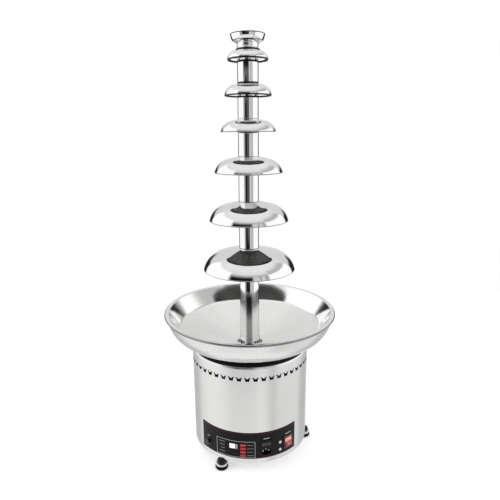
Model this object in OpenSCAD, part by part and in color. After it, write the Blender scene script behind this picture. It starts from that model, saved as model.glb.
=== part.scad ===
// Tiered chocolate fountain: a screw in a stacked tower lifts melted chocolate from a heated basin
// to the crown, and it falls over six domes back into the basin.
// Millimetres, +Z up. The origin is on the floor, on the tower's axis. The control panel faces -Y.

/* [Feet] */
// how far a foot's middle stands outside the housing's wall
foot_out = -2.5; // [-20:0.5:20]
// turn of the first foot from the front
foot_turn = -27; // [-60:0.5:60]
// radius of the rubber pad
pad_r = 16; // [10:0.5:20]
// height of the rubber pad
pad_h = 8; // [3:0.5:12]
// radius of the steel ring above the pad
ring_r = 14.6; // [10:0.1:22]
// height of the steel ring
ring_h = 7; // [2:0.5:10]
// radius of the levelling stud
stud_r = 4; // [2.5:0.5:6]
// radius of the bracket's threaded boss
boss_r = 11.5; // [8:0.5:16]
// width of the bracket's arm
arm_w = 20; // [12:1:30]
// thickness of the bracket's arm
arm_t = 4; // [2:0.5:8]
// length of the bracket's arm from the foot's middle inwards
arm_l = 50; // [20:1:90]

/* [Base housing] */
// height of the housing's lower edge above the floor
base_z = 26; // [20:0.5:60]
// outer radius of the housing
housing_r = 148.5; // [120:0.5:180]
// height of the housing's wall
housing_h = 257; // [180:1:320]
// sheet thickness
sheet = 1.5; // [0.8:0.1:3]
// width of the inward flanges
flange_w = 12; // [6:0.5:20]
// thickness of the base plate and the top deck
plate_t = 2; // [1:0.1:4]
// radius of the opening in the top deck
deck_hole_r = 56; // [40:1:100]
// number of base screws
screw_n = 6; // [3:1:12]
// radius of a base screw's shank
screw_r = 2; // [1.5:0.1:4]
// radius of a base screw's head
screw_head_r = 4; // [3:0.1:8]
// height of a base screw's head
screw_head_h = 2.4; // [1.5:0.1:5]
// number of vents round the housing
vent_n = 48; // [12:1:72]
// height of the vents' middle above the floor
vent_z = 252.5; // [150:0.5:290]
// half the width of a vent
vent_w = 7.2; // [3:0.1:10]
// half the height of a vent
vent_h = 5.6; // [2:0.1:10]

/* [Control panel] */
// half the panel's angle
panel_half = 50; // [30:1:70]
// height of the panel's lower edge
panel_z = 40; // [30:0.5:80]
// height of the panel
panel_h = 70.5; // [40:0.5:120]
// thickness of the panel
panel_t = 1.2; // [0.6:0.1:3]
// gap behind the panel, filled with adhesive
panel_gap = 0.3; // [0.1:0.1:1]
// turn of the display from the front
display_turn = -13.4; // [-40:0.1:40]
// height of the display's middle
display_z = 73; // [55:0.5:110]
// width of the display
display_w = 22; // [10:0.5:40]
// height of the display
display_h = 15; // [8:0.5:30]
// how far the display stands out of the panel
display_out = 0.4; // [0.1:0.1:2]
// turn of the keys from the front
button_turn = -4.4; // [-30:0.1:30]
// height of the lowest key
button_z = 49.6; // [42:0.1:70]
// spacing of the keys
button_pitch = 9.5; // [7:0.1:14]
// width of a key
button_w = 13.6; // [6:0.1:18]
// height of a key
button_h = 5.8; // [3:0.1:8]
// how far a key stands out of the panel
button_out = 1.6; // [0.8:0.1:4]
// how far a key reaches behind the wall
button_stem = 4; // [2:0.1:8]
// width of the flange behind a key
button_lip = 1; // [0.5:0.1:2]
// gap between a key's flange and the wall
button_gap = 0.5; // [0.2:0.1:2]
// travel of a key
button_travel = 1; // [0.3:0.1:3]
// turn of the power switch from the front
switch_turn = 40.6; // [20:0.1:60]
// height of the power switch's middle
switch_z = 68; // [60:0.5:100]
// width of the switch's frame
switch_w = 27; // [15:0.5:40]
// height of the switch's frame
switch_h = 34; // [20:0.5:50]
// thickness of the frame's rim
switch_rim = 3.4; // [2:0.1:6]
// depth of the switch's body behind the wall
switch_deep = 22; // [10:0.5:40]
// depth of the switch's opening behind the pivot
switch_cave = 6; // [5:0.5:15]
// radius of the rocker's pivot pin
pivot_r = 1.4; // [0.8:0.1:3]
// reach of the pivot pin into the frame
pivot_in = 0.9; // [0.5:0.1:2]
// gap above and below the rocker
rocker_end = 1.3; // [0.8:0.1:3]
// height of the rocker's tips above its pivot
rocker_tip = 5.6; // [4:0.1:9]
// height of the rocker's middle above its pivot
rocker_dip = 4.4; // [3:0.1:8]
// height of the rocker's lower edges above its pivot
rocker_skirt = 2.6; // [1:0.1:4]
// depth of the rocker's keel below its pivot
rocker_keel = 3; // [2:0.1:5]
// half the width of the rocker's keel
rocker_keel_w = 4; // [2:0.1:8]
// angle from the rocker's level position to each end
rocker_tilt = 8; // [3:0.5:15]
// turn of the fuse from the front
fuse_turn = -41.4; // [-60:0.1:-30]
// height of the fuse
fuse_z = 62; // [55:0.5:110]
// radius of the fuse's cap
fuse_cap_r = 6.8; // [4:0.1:10]
// radius of the fuse holder's body
fuse_body_r = 5.8; // [4:0.1:9]
// radius of the fuse's barrel
fuse_plug_r = 4.4; // [3:0.1:7]
// radius of the fuse holder's flange
fuse_flange_r = 8.4; // [6:0.1:14]
// thickness of the fuse holder's flange
fuse_flange_t = 1.5; // [0.8:0.1:4]
// depth of the fuse holder behind the wall
fuse_deep = 26; // [15:0.5:50]
// depth of the fuse's barrel behind the wall
fuse_plug_deep = 12; // [5:0.5:20]
// floor of the fuse holder
fuse_floor = 2; // [1:0.1:4]
// width of the slot in the fuse's cap
fuse_slot_w = 1.4; // [0.6:0.1:3]
// depth of the slot in the fuse's cap
fuse_slot_d = 1.6; // [0.5:0.1:3]
// how far the fuse's cap stands out
fuse_cap_h = 7; // [3:0.1:12]
// turn of the inlet from the front
inlet_turn = 17.3; // [5:0.1:30]
// height of the inlet socket's middle
inlet_z = 58; // [45:0.5:100]
// width of the inlet's flange
inlet_w = 28; // [24:0.5:40]
// height of the inlet's flange
inlet_h = 44; // [26:0.5:60]
// thickness of the inlet's flange
inlet_t = 1.6; // [1:0.1:4]
// height of flange below the inlet's socket
inlet_below = 4.5; // [3:0.1:10]
// width of the inlet's socket
socket_w = 23.4; // [20:0.1:28]
// height of the inlet's socket
socket_h = 17; // [14:0.1:22]
// depth of the inlet's socket
socket_d = 16; // [10:0.5:24]
// thickness of the inlet's back wall
socket_back = 4; // [2:0.5:8]
// height of the fuse drawer's middle above the socket
drawer_up = 12; // [8:0.5:24]
// height of the fuse drawer
drawer_h = 8; // [4:0.5:12]
// depth of the fuse drawer's face
drawer_d = 0.8; // [0.3:0.1:1.5]
// width of an inlet pin
pin_w = 2; // [1:0.1:4]
// height of an inlet pin
pin_h = 4; // [2:0.1:6]
// distance of the outer pins from the middle
pin_at = 7; // [5:0.1:9]
// height of the outer pins above the socket's middle
pin_side_z = 0.5; // [-3:0.1:3]
// height of the middle pin above the socket's middle
pin_mid_z = 4.5; // [0:0.1:6]
// depth of the pins' tips in the socket
pin_short = 4; // [1:0.1:8]
// turn of the lamps from the front
lamp_turn = 31.5; // [20:0.1:50]
// height of the lower lamp
lamp_z = 53.4; // [42:0.1:100]
// spacing of the lamps
lamp_pitch = 20; // [8:0.5:40]
// radius of a lamp's body
lamp_body_r = 2.6; // [1.5:0.1:5]
// depth of a lamp behind the wall
lamp_deep = 10; // [5:0.5:30]
// how far a lamp's lens stands out
lamp_out = 1.2; // [0.6:0.1:4]
// radius of a lamp's lens
lamp_r = 3.6; // [2:0.1:6]

/* [Control board] */
// turn of the board from the front
board_turn = -12; // [-30:0.5:30]
// height of the board's lower edge
board_z = 42; // [30:0.5:80]
// width of the board
board_w = 84; // [50:1:110]
// height of the board
board_h = 44; // [30:1:80]
// thickness of the board
board_t = 1.6; // [0.8:0.1:3]
// distance of the board behind the housing's face
board_deep = 16; // [12:0.5:30]
// width of a contact under a key
tact_w = 6; // [4:0.1:10]
// height of a contact under a key
tact_h = 5; // [3:0.1:8]
// radius of a board standoff
standoff_r = 3; // [2:0.1:5]
// distance of a standoff from the board's end
standoff_in = 6; // [4:0.5:12]

/* [Basin] */
// height of the basin's rim
rim_z = 372; // [300:1:450]
// outer radius of the basin's rim
rim_r = 216; // [150:1:260]
// radius of the rim's rolled edge
roll_r = 3.4; // [1.5:0.1:6]
// inner radius of the rim's flat lip
lip_r = 205; // [140:1:250]
// radius where the basin's wall meets its floor
wall_r = 178; // [120:1:200]
// height where the basin's wall meets its floor
wall_z = 329; // [300:1:360]
// outward step of the basin's underside at the bend
bend_out = 1.8; // [1:0.1:4]
// outward step of the basin's underside at the flat
flat_out = 1; // [0.5:0.1:3]
// radius of the flat middle of the floor
flat_r = 36; // [30:1:60]
// height of the flat middle of the floor
floor_z = 282; // [270:0.5:310]
// outer radius at the jacket's crease
crease_r = 150; // [120:1:180]
// height of the jacket's crease
crease_z = 302; // [295:0.5:330]
// outer radius of the jacket's lower edge
jacket_r = 143; // [110:1:170]
// gap between the basin's wall and the jacket at the top
jacket_gap = 1; // [0.2:0.1:4]
// radius of the jacket wall's curve
jacket_curve = 66; // [50:1:200]
// distance of the black ring's edge inside the housing's wall
seal_in = 2.2; // [1.8:0.1:40]
// width of the black ring
seal_w = 20.3; // [6:0.1:30]
// height of the black ring
seal_h = 7; // [3:0.5:15]
// inner radius of the heater ring
heater_in = 70; // [50:1:100]
// outer radius of the heater ring
heater_out = 115; // [80:1:125]
// gap between the heater ring and the basin's floor, filled with paste
heater_gap = 0.3; // [0.1:0.1:1]
// radius of the thermostat
thermostat_r = 8; // [4:0.5:12]
// height of the thermostat
thermostat_h = 6; // [3:0.5:12]
// thickness of the heater ring
heater_t = 4; // [2:0.5:8]

/* [Tower] */
// outer radius of the tower's tubes
tube_r = 24.4; // [15:0.1:35]
// bore radius of the tower's tubes
tube_bore = 21.6; // [12:0.1:32]
// outer radius of a tube's neck
neck_r = 22.6; // [13:0.1:33]
// length of neck inside the next tube
neck_in = 15; // [6:0.5:30]
// bevel on a tube's lower edge
tube_lead = 1; // [0.5:0.1:3]
// gap between a canopy's top and the tube that stands over it
tube_gap = 0.2; // [0.1:0.05:1]
// height of a canopy's hub, which stands on the tube below it
hub_h = 9; // [4:0.5:14]
// radius of the foot's collar
collar_r = 25.8; // [24:0.1:32]
// height of the foot's collar
collar_h = 13; // [5:0.5:30]
// number of openings in the tower's foot
intake_n = 4; // [3:1:6]
// width of an opening in the tower's foot
intake_w = 16; // [6:0.5:24]
// height of an opening in the tower's foot
intake_h = 9; // [4:0.5:12]
// reach of the tabs on the tower's foot
tab_r = 32; // [26:0.5:34]
// width of a tab on the tower's foot
tab_w = 8; // [4:0.5:16]
// height of a tab on the tower's foot
tab_h = 3; // [1:0.5:6]

/* [Canopies] */
// outer radius of the top canopy
canopy_1_r = 46.5; // [35:0.1:130]
// distance of the centre of the top canopy's curve from the axis
canopy_1_at = 27.2; // [26:0.1:70]
// height above the floor at which the top canopy's curve levels off
canopy_1_z = 987; // [450:0.5:1100]
// height of the top canopy's curve above its edge
canopy_1_h = 19; // [12:0.1:60]
// outer radius of the second canopy
canopy_2_r = 54.3; // [35:0.1:130]
// distance of the centre of the second canopy's curve from the axis
canopy_2_at = 28.6; // [26:0.1:70]
// height above the floor at which the second canopy's curve levels off
canopy_2_z = 915.5; // [450:0.5:1100]
// height of the second canopy's curve above its edge
canopy_2_h = 24; // [12:0.1:60]
// outer radius of the third canopy
canopy_3_r = 64.6; // [35:0.1:130]
// distance of the centre of the third canopy's curve from the axis
canopy_3_at = 33.6; // [26:0.1:70]
// height above the floor at which the third canopy's curve levels off
canopy_3_z = 836.5; // [450:0.5:1100]
// height of the third canopy's curve above its edge
canopy_3_h = 24.6; // [12:0.1:60]
// outer radius of the fourth canopy
canopy_4_r = 81.4; // [35:0.1:130]
// distance of the centre of the fourth canopy's curve from the axis
canopy_4_at = 41.5; // [26:0.1:70]
// height above the floor at which the fourth canopy's curve levels off
canopy_4_z = 749.5; // [450:0.5:1100]
// height of the fourth canopy's curve above its edge
canopy_4_h = 31.5; // [12:0.1:60]
// outer radius of the fifth canopy
canopy_5_r = 96; // [35:0.1:130]
// distance of the centre of the fifth canopy's curve from the axis
canopy_5_at = 49; // [26:0.1:70]
// height above the floor at which the fifth canopy's curve levels off
canopy_5_z = 641; // [450:0.5:1100]
// height of the fifth canopy's curve above its edge
canopy_5_h = 38.3; // [12:0.1:60]
// outer radius of the lowest canopy
canopy_6_r = 113.4; // [35:0.1:130]
// distance of the centre of the lowest canopy's curve from the axis
canopy_6_at = 59.2; // [26:0.1:70]
// height above the floor at which the lowest canopy's curve levels off
canopy_6_z = 523; // [450:0.5:1100]
// height of the lowest canopy's curve above its edge
canopy_6_h = 42.8; // [12:0.1:60]
// sheet thickness of a canopy
canopy_t = 1.5; // [0.8:0.1:3]
// slope of the cone between a canopy's curve and its hole, in degrees
cap_slope = 14; // [4:0.5:20]
// depth of that cone under the curve's tangent
cap_sink = 0.1; // [0.05:0.05:0.5]
// radius of the bead on a canopy's edge
bead_r = 1.4; // [0.8:0.1:3]
// how far the bead stands out past the dome
bead_out = 0.3; // [0.1:0.1:1]

/* [Crown] */
// height of the crown's rim
crown_z = 1022; // [800:1:1200]
// outer radius of the crown's rim
crown_r = 39.4; // [25:0.1:60]
// outer radius of the cup's lower edge
cup_low_r = 34.8; // [24:0.1:50]
// height of the cup's lower edge
cup_low_z = 1007.5; // [900:0.5:1100]
// height where the neck meets the cup
cup_neck_z = 1002; // [900:0.5:1100]
// height of the cup's floor
cup_floor_z = 1009; // [900:0.5:1100]
// outer radius of the crown's waist
waist_r = 23.6; // [20:0.1:30]
// height of the crown's waist
waist_z = 993.5; // [900:0.5:1100]
// bevel on the crown's edges
crown_edge = 1; // [0.4:0.1:3]
// outer radius of the crown's skirt
skirt_r = 29; // [24:0.1:40]

/* [Screw] */
// radius of the screw's core
core_r = 8; // [5:0.1:14]
// outer radius of the screw's flight
flight_r = 20.6; // [10:0.1:30]
// rise of the flight in one turn
flight_pitch = 60; // [30:1:100]
// thickness of the flight
flight_t = 2.5; // [1:0.1:6]
// lower end of the flight
flight_z = 292; // [282:0.5:330]
// upper end of the flight
flight_top = 996; // [700:1:1100]
// facets of the flight in one turn
flight_steps = 20; // [12:1:48]
// lower end of the core
core_z = 288; // [280:0.5:320]
// upper end of the core
core_top = 1005; // [700:1:1100]

/* [Drive] */
// radius of the output shaft
shaft_r = 5; // [3:0.1:9]
// lower end of the output shaft
shaft_z = 176; // [150:0.5:220]
// upper end of the output shaft
shaft_top = 328; // [300:0.5:400]
// gear module
gear_m = 1.5; // [1:0.1:3]
// teeth on the drive gear
gear_n = 36; // [24:1:60]
// teeth on the pinion
pinion_n = 12; // [10:1:20]
// width of the gears
gear_w = 10; // [5:0.5:20]
// height of the gears' lower face
gear_z = 195; // [190:0.5:230]
// pressure angle
gear_pa = 25; // [20:0.5:30]
// depth of a tooth below the pitch circle, in modules
gear_root = 1.1; // [1:0.05:1.4]
// height of a tooth above the pitch circle, in modules
gear_tip = 0.8; // [0.6:0.05:1]
// backlash taken from each tooth
gear_play = 0.35; // [0.1:0.05:1]
// radius of the gear plates
frame_r = 78; // [60:1:110]
// height of the lower gear plate
frame_low = 182; // [150:0.5:220]
// height of the upper gear plate
frame_high = 218; // [200:0.5:260]
// thickness of the gear plates
frame_t = 3; // [2:0.5:6]
// distance of the pillars from the axis
pillar_at = 66; // [50:1:100]
// radius of a pillar
pillar_r = 4; // [2:0.5:8]
// outer radius of a bearing
bearing_r = 9; // [7:0.5:14]
// length of a bearing
bearing_h = 9; // [5:0.5:16]
// outer radius of the motor
motor_r = 25; // [20:0.5:26]
// length of the motor
motor_h = 78; // [40:1:110]
// wall of the motor's can
motor_wall = 3; // [1.5:0.5:6]
// radius of the rotor
rotor_r = 18; // [10:0.5:20]
// radius of the motor's shaft
motor_shaft_r = 4; // [2:0.1:6]
// radius of the hole for the motor's shaft
motor_hole_r = 6; // [4:0.1:10]
// thickness of the shoulder under the drive gear
shoulder_t = 2; // [1:0.1:5]
// outer radius of the bush in the basin's floor
bush_r = 12; // [9:0.5:18]
// radius of the bush's shoulder
bush_lip_r = 16; // [12:0.5:22]
// depth of the bush below the basin's floor
bush_deep = 10; // [6:0.5:30]
// height of the bush above the basin's floor
bush_up = 1; // [0.5:0.1:3]
// distance of the seal inside the bush's edge
shaft_seal_in = 2; // [1:0.1:4]
// height of the seal on the bush
shaft_seal_h = 3.5; // [2:0.5:8]

/* [Fits] */
// running clearance of a shaft in its bearing
run_fit = 0.05; // [0.01:0.01:0.1]
// clearance of a part that slides in an opening
slide_fit = 0.35; // [0.2:0.05:1]
// clearance of a neck in its socket
neck_fit = 0.3; // [0.1:0.05:1]
// clearance of a fixed part in its opening
seat_fit = 0.1; // [0.05:0.05:0.5]

/* [Hidden] */
$fn = 96;
eps = 0.01;
far = 400;
cut = 1;
deep_cut = 4;
foot_n = 3;
key_n = 4;
lamp_n = 2;
pillar_n = 4;
canopy_r = [canopy_1_r, canopy_2_r, canopy_3_r, canopy_4_r, canopy_5_r, canopy_6_r];
curve_at = [canopy_1_at, canopy_2_at, canopy_3_at, canopy_4_at, canopy_5_at, canopy_6_at];
lip_z = [canopy_1_z, canopy_2_z, canopy_3_z, canopy_4_z, canopy_5_z, canopy_6_z];
dome_h = [canopy_1_h, canopy_2_h, canopy_3_h, canopy_4_h, canopy_5_h, canopy_6_h];
tiers = len(canopy_r);
housing_top = base_z + housing_h;
foot_at = housing_r + foot_out;
seal_r = housing_r - seal_in;
housing_in = housing_r - sheet;
deck_z = housing_top - sheet - plate_t;
deck_top = deck_z + plate_t;
ledge_z = deck_z - plate_t;
plate_r = housing_in - seat_fit;
panel_back = housing_r + panel_gap;
panel_face = panel_back + panel_t;
seal_z = deck_top;
jacket_z = seal_z + seal_h;
screw_at = housing_in - flange_w / 2;
stud_top = base_z - arm_t / 2;
boss_z = pad_h + ring_h;
gear_gap = gear_m * (gear_n + pinion_n) / 2;
core_bore = shaft_r + run_fit;
socket_bore = neck_r + neck_fit;
hole_r = neck_r + slide_fit;
switch_face = panel_face + switch_rim / 2;
switch_pivot = switch_face - switch_rim;
cave_w = switch_w - 2 * switch_rim;
cave_h = switch_h - 2 * switch_rim;
inlet_face = panel_face + inlet_t;
fuse_face = panel_face + fuse_flange_t;
board_at = housing_r - board_deep;
button_back = housing_in - button_stem;
bush_low = floor_z - bush_deep;
motor_low = frame_low - motor_h;

steel = [0.80, 0.80, 0.79];
satin = [0.74, 0.74, 0.73];
black = [0.05, 0.05, 0.05];
red = [0.75, 0.05, 0.06];
pale = [0.93, 0.93, 0.92];
board_green = [0.06, 0.30, 0.14];
bronze = [0.62, 0.45, 0.22];
iron = [0.35, 0.35, 0.36];

// heights and radii of a tier
function dome_r(i) = (pow(canopy_r[i] - curve_at[i], 2) + pow(dome_h[i], 2)) / (2 * dome_h[i]);
function dome_z(i) = lip_z[i] - dome_r(i);
function cap_at(i, r) = [curve_at[i] + r * sin(cap_slope), dome_z(i) + r * cos(cap_slope) - cap_sink];
function cap_z(i, r, x) = cap_at(i, r)[1] + (cap_at(i, r)[0] - x) * tan(cap_slope);
function top_z(i) = cap_z(i, dome_r(i), hole_r);
function step_z(i) = top_z(i) + tube_gap;
function seat_z(i) = top_z(i) - hub_h;

// points of a gear's flank: involute at a given radius
function inv(a) = tan(a) * 180 / PI - a;
function tooth_half(r, rp, n) = let (rb = rp * cos(gear_pa), a = r > rb ? acos(rb / r) : 0)
    (gear_m * PI / 2 - gear_play) / (2 * rp) * 180 / PI + inv(gear_pa) - inv(a);
function gear_points(n) = let (rp = gear_m * n / 2, rb = rp * cos(gear_pa),
        root = rp - gear_root * gear_m, tip = rp + gear_tip * gear_m, low = max(root + eps, rb),
        radii = [root, low, (low + rp) / 2, rp, (rp + tip) / 2, tip])
    [for (k = [0:n - 1]) for (s = [-1, 1]) for (j = [0:len(radii) - 1])
        let (r = s < 0 ? radii[j] : radii[len(radii) - 1 - j], a = k * 360 / n + s * tooth_half(r, rp, n))
        [r * cos(a), r * sin(a)]];

// half of a cut-out vent in shares of its size: a large upper wing and a small lower one
vent_half = [[0, 0.2], [0.3, 0.45], [0.7, 0.95], [1, 1], [0.95, 0.4], [0.7, 0], [0.74, -0.45],
    [0.55, -0.95], [0.25, -1], [0, -0.8]];
vent_last = len(vent_half) - 1;
vent_points = concat(
    [for (q = vent_half) [q[0] * vent_w, q[1] * vent_h]],
    [for (k = [1:vent_last - 1]) let (q = vent_half[vent_last - k]) [-q[0] * vent_w, q[1] * vent_h]]);

// places its children on the front of the housing, turned about the axis: X across, Y outwards, Z up
module on_front(turn, out, z)
{
    rotate([0, 0, turn])
    translate([0, -out, z])
    rotate([0, 0, 180])
    children();
}

// a block from one depth to another, centred across
module block(w, h, from, to)
{
    translate([-w / 2, from, -h / 2])
    cube([w, to - from, h]);
}

// a rod along the outward direction
module rod(r, from, to)
{
    translate([0, from, 0])
    rotate([-90, 0, 0])
    cylinder(r = r, h = to - from);
}

// a ring about the tower's axis
module ring(r_out, r_in, z0, z1)
{
    translate([0, 0, z0])
    difference()
    {
        cylinder(r = r_out, h = z1 - z0);
        translate([0, 0, -cut])
        cylinder(r = r_in, h = z1 - z0 + 2 * cut);
    }
}

module base_plate()
{
    color(steel)
    difference()
    {
        translate([0, 0, base_z])
        cylinder(r = plate_r, h = plate_t);
        base_screw_places()
        translate([0, 0, base_z - cut])
        cylinder(r = screw_r + seat_fit, h = plate_t + 2 * cut);
    }
}

// the base screws' places
module base_screw_places()
{
    for (k = [0:screw_n - 1])
    rotate([0, 0, foot_turn + (k + 1 / 2) * 360 / screw_n])
    translate([0, -screw_at, 0])
    children();
}

module base_screws()
{
    color(steel)
    base_screw_places()
    union()
    {
        translate([0, 0, base_z - screw_head_h])
        cylinder(r = screw_head_r, h = screw_head_h);
        translate([0, 0, base_z - screw_head_h])
        cylinder(r = screw_r, h = screw_head_h + plate_t + sheet);
    }
}

// every opening that the panel's parts need
module panel_openings(from, to)
{
    on_front(display_turn, 0, display_z)
    block(display_w + 2 * seat_fit, display_h + 2 * seat_fit, from, to);
    for (k = [0:key_n - 1])
    on_front(button_turn, 0, button_z + k * button_pitch)
    block(button_w + 2 * slide_fit, button_h + 2 * slide_fit, from, to);
    on_front(switch_turn, 0, switch_z)
    block(switch_w - switch_rim + seat_fit, switch_h - switch_rim + seat_fit, from, to);
    on_front(fuse_turn, 0, fuse_z)
    rod(fuse_body_r + seat_fit, from, to);
    on_front(inlet_turn, 0, inlet_z)
    block(socket_w + 2 * sheet + 2 * seat_fit, socket_h + 2 * sheet + 2 * seat_fit, from, to);
    for (k = [0:lamp_n - 1])
    on_front(lamp_turn, 0, lamp_z + k * lamp_pitch)
    rod(lamp_body_r + seat_fit, from, to);
}

module housing()
{
    color(satin)
    difference()
    {
        union()
        {
            ring(housing_r, housing_in, base_z, housing_top);
            ring(housing_in + eps, housing_in - flange_w, base_z + plate_t, base_z + plate_t + sheet);
            ring(housing_in + eps, housing_in - flange_w, ledge_z, ledge_z + plate_t);
        }
        for (k = [0:vent_n - 1])
        on_front(k * 360 / vent_n, 0, vent_z)
        translate([0, housing_r + deep_cut, 0])
        rotate([90, 0, 0])
        linear_extrude(height = 2 * deep_cut)
        polygon(vent_points);
        panel_openings(housing_in - deep_cut, housing_r + deep_cut);
        base_screw_places()
        translate([0, 0, base_z])
        cylinder(r = screw_r, h = plate_t + 2 * sheet);
    }
}

module top_deck()
{
    color(steel)
    ring(plate_r, deck_hole_r, deck_z, deck_top);
}

module basin_seal()
{
    color(black)
    ring(seal_r, seal_r - seal_w, seal_z, seal_z + seal_h);
}

module basin()
{
    color(steel)
    union()
    {
        rotate_extrude()
        polygon([[bush_r + seat_fit, floor_z], [flat_r, floor_z], [wall_r, wall_z],
            [lip_r, rim_z - sheet / 2],
            [rim_r - roll_r, rim_z - sheet / 2], [rim_r - roll_r, rim_z - 2 * sheet],
            [lip_r + sheet, rim_z - 2 * sheet], [wall_r + bend_out, wall_z - sheet],
            [flat_r + flat_out, floor_z - sheet], [bush_r + seat_fit, floor_z - sheet]]);
        rotate_extrude()
        translate([rim_r - roll_r, rim_z - roll_r])
        circle(r = roll_r);
    }
}

module basin_jacket()
{
    chord = [lip_r + 2 * sheet + jacket_gap - crease_r, rim_z - 2 * sheet - crease_z];
    span = norm(chord);
    away = sqrt(jacket_curve * jacket_curve - span * span / 4);
    mid = [crease_r + chord[0] / 2, crease_z + chord[1] / 2];
    centre = [mid[0] - chord[1] / span * away, mid[1] + chord[0] / span * away];
    color(satin)
    rotate_extrude()
    union()
    {
        intersection()
        {
            difference()
            {
                translate(centre)
                circle(r = jacket_curve);
                translate(centre)
                circle(r = jacket_curve - sheet);
            }
            polygon([[crease_r - sheet, crease_z], [far, crease_z], [far, crease_z + chord[1]],
                [crease_r + chord[0] - 6 * sheet, crease_z + chord[1]]]);
        }
        polygon([[seal_r - seal_w, jacket_z], [jacket_r, jacket_z], [crease_r, crease_z],
            [crease_r - 2 * sheet, crease_z], [jacket_r - sheet, jacket_z + sheet],
            [seal_r - seal_w, jacket_z + sheet]]);
    }
}

module shaft_bush()
{
    color(bronze)
    difference()
    {
        union()
        {
            translate([0, 0, bush_low])
            cylinder(r = bush_r, h = floor_z - bush_low + bush_up);
            ring(bush_lip_r, bush_r - cut, floor_z - sheet - plate_t, floor_z - sheet);
        }
        translate([0, 0, bush_low - cut])
        cylinder(r = shaft_r + run_fit, h = far);
    }
}

module shaft_seal()
{
    color(black)
    ring(bush_r - shaft_seal_in, shaft_r + run_fit, floor_z + bush_up, floor_z + bush_up + shaft_seal_h);
}

module heater_plate()
{
    from = flat_r + flat_out;
    slope = (wall_z - floor_z) / (wall_r + bend_out - from);
    z_in = floor_z - sheet - heater_gap + slope * (heater_in - from);
    z_out = floor_z - sheet - heater_gap + slope * (heater_out - from);
    color(iron)
    rotate_extrude()
    polygon([[heater_in, z_in], [heater_out, z_out], [heater_out, z_out - heater_t],
        [heater_in, z_in - heater_t]]);
}

module thermostat()
{
    color(pale)
    translate([0, -(bush_lip_r + flat_r) / 2, floor_z - sheet - thermostat_h])
    cylinder(r = thermostat_r, h = thermostat_h);
}

// the two gear plates differ only in height and in the hole for the motor's shaft
module gear_plate(z, motor_hole)
{
    difference()
    {
        translate([0, 0, z])
        cylinder(r = frame_r, h = frame_t);
        translate([0, 0, z - cut])
        cylinder(r = bearing_r, h = frame_t + 2 * cut);
        translate([0, gear_gap, z - cut])
        cylinder(r = motor_hole, h = frame_t + 2 * cut);
    }
}

module gear_plate_lower()
{
    color(steel)
    gear_plate(frame_low, motor_hole_r);
}

module gear_plate_upper()
{
    color(steel)
    gear_plate(frame_high, motor_shaft_r + run_fit);
}

module gear_pillars()
{
    color(steel)
    for (k = [0:pillar_n - 1])
    rotate([0, 0, (k + 1 / 2) * 360 / pillar_n])
    translate([pillar_at, 0, 0])
    union()
    {
        translate([0, 0, frame_low + frame_t])
        cylinder(r = pillar_r, h = frame_high - frame_low - frame_t);
        translate([0, 0, frame_high + frame_t])
        cylinder(r = pillar_r, h = deck_z - frame_high - frame_t);
    }
}

module bearing_lower()
{
    color(bronze)
    ring(bearing_r, shaft_r + run_fit,
        frame_low - (bearing_h - frame_t) / 2, frame_low + (bearing_h + frame_t) / 2);
}

module bearing_upper()
{
    color(bronze)
    ring(bearing_r, shaft_r + run_fit,
        frame_high - (bearing_h - frame_t) / 2, frame_high + (bearing_h + frame_t) / 2);
}

module motor_can()
{
    color(iron)
    translate([0, gear_gap, 0])
    difference()
    {
        translate([0, 0, motor_low])
        cylinder(r = motor_r, h = motor_h);
        translate([0, 0, motor_low + motor_wall])
        cylinder(r = motor_r - motor_wall, h = motor_h - 2 * motor_wall);
        translate([0, 0, motor_low + motor_wall / 3])
        cylinder(r = motor_shaft_r + run_fit, h = motor_h);
    }
}

module motor_rotor()
{
    color(steel)
    translate([0, gear_gap, 0])
    union()
    {
        translate([0, 0, motor_low + motor_wall / 2])
        cylinder(r = motor_shaft_r, h = frame_high + frame_t - motor_low - motor_wall / 2);
        translate([0, 0, motor_low + 3 * motor_wall])
        cylinder(r = rotor_r, h = motor_h - 6 * motor_wall);
    }
}

module pinion()
{
    color(steel)
    translate([0, gear_gap, gear_z])
    difference()
    {
        rotate([0, 0, 180 / pinion_n])
        linear_extrude(height = gear_w)
        polygon(gear_points(pinion_n));
        translate([0, 0, -cut])
        cylinder(r = motor_shaft_r, h = gear_w + 2 * cut);
    }
}

module output_shaft()
{
    color(steel)
    union()
    {
        translate([0, 0, shaft_z])
        cylinder(r = shaft_r, h = shaft_top - shaft_z);
        translate([0, 0, gear_z - shoulder_t])
        cylinder(r = bearing_r, h = shoulder_t);
    }
}

module drive_gear()
{
    color(bronze)
    translate([0, 0, gear_z])
    difference()
    {
        linear_extrude(height = gear_w)
        polygon(gear_points(gear_n));
        translate([0, 0, -cut])
        cylinder(r = shaft_r, h = gear_w + 2 * cut);
    }
}

module auger_core()
{
    color(steel)
    difference()
    {
        union()
        {
            translate([0, 0, core_z])
            cylinder(r = core_r, h = core_top - core_r / 2 - core_z);
            translate([0, 0, core_top - core_r / 2])
            cylinder(r1 = core_r, r2 = core_r / 2, h = core_r / 2);
        }
        translate([0, 0, core_z - cut])
        cylinder(r = core_bore, h = shaft_top - core_z + cut);
    }
}

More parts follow.
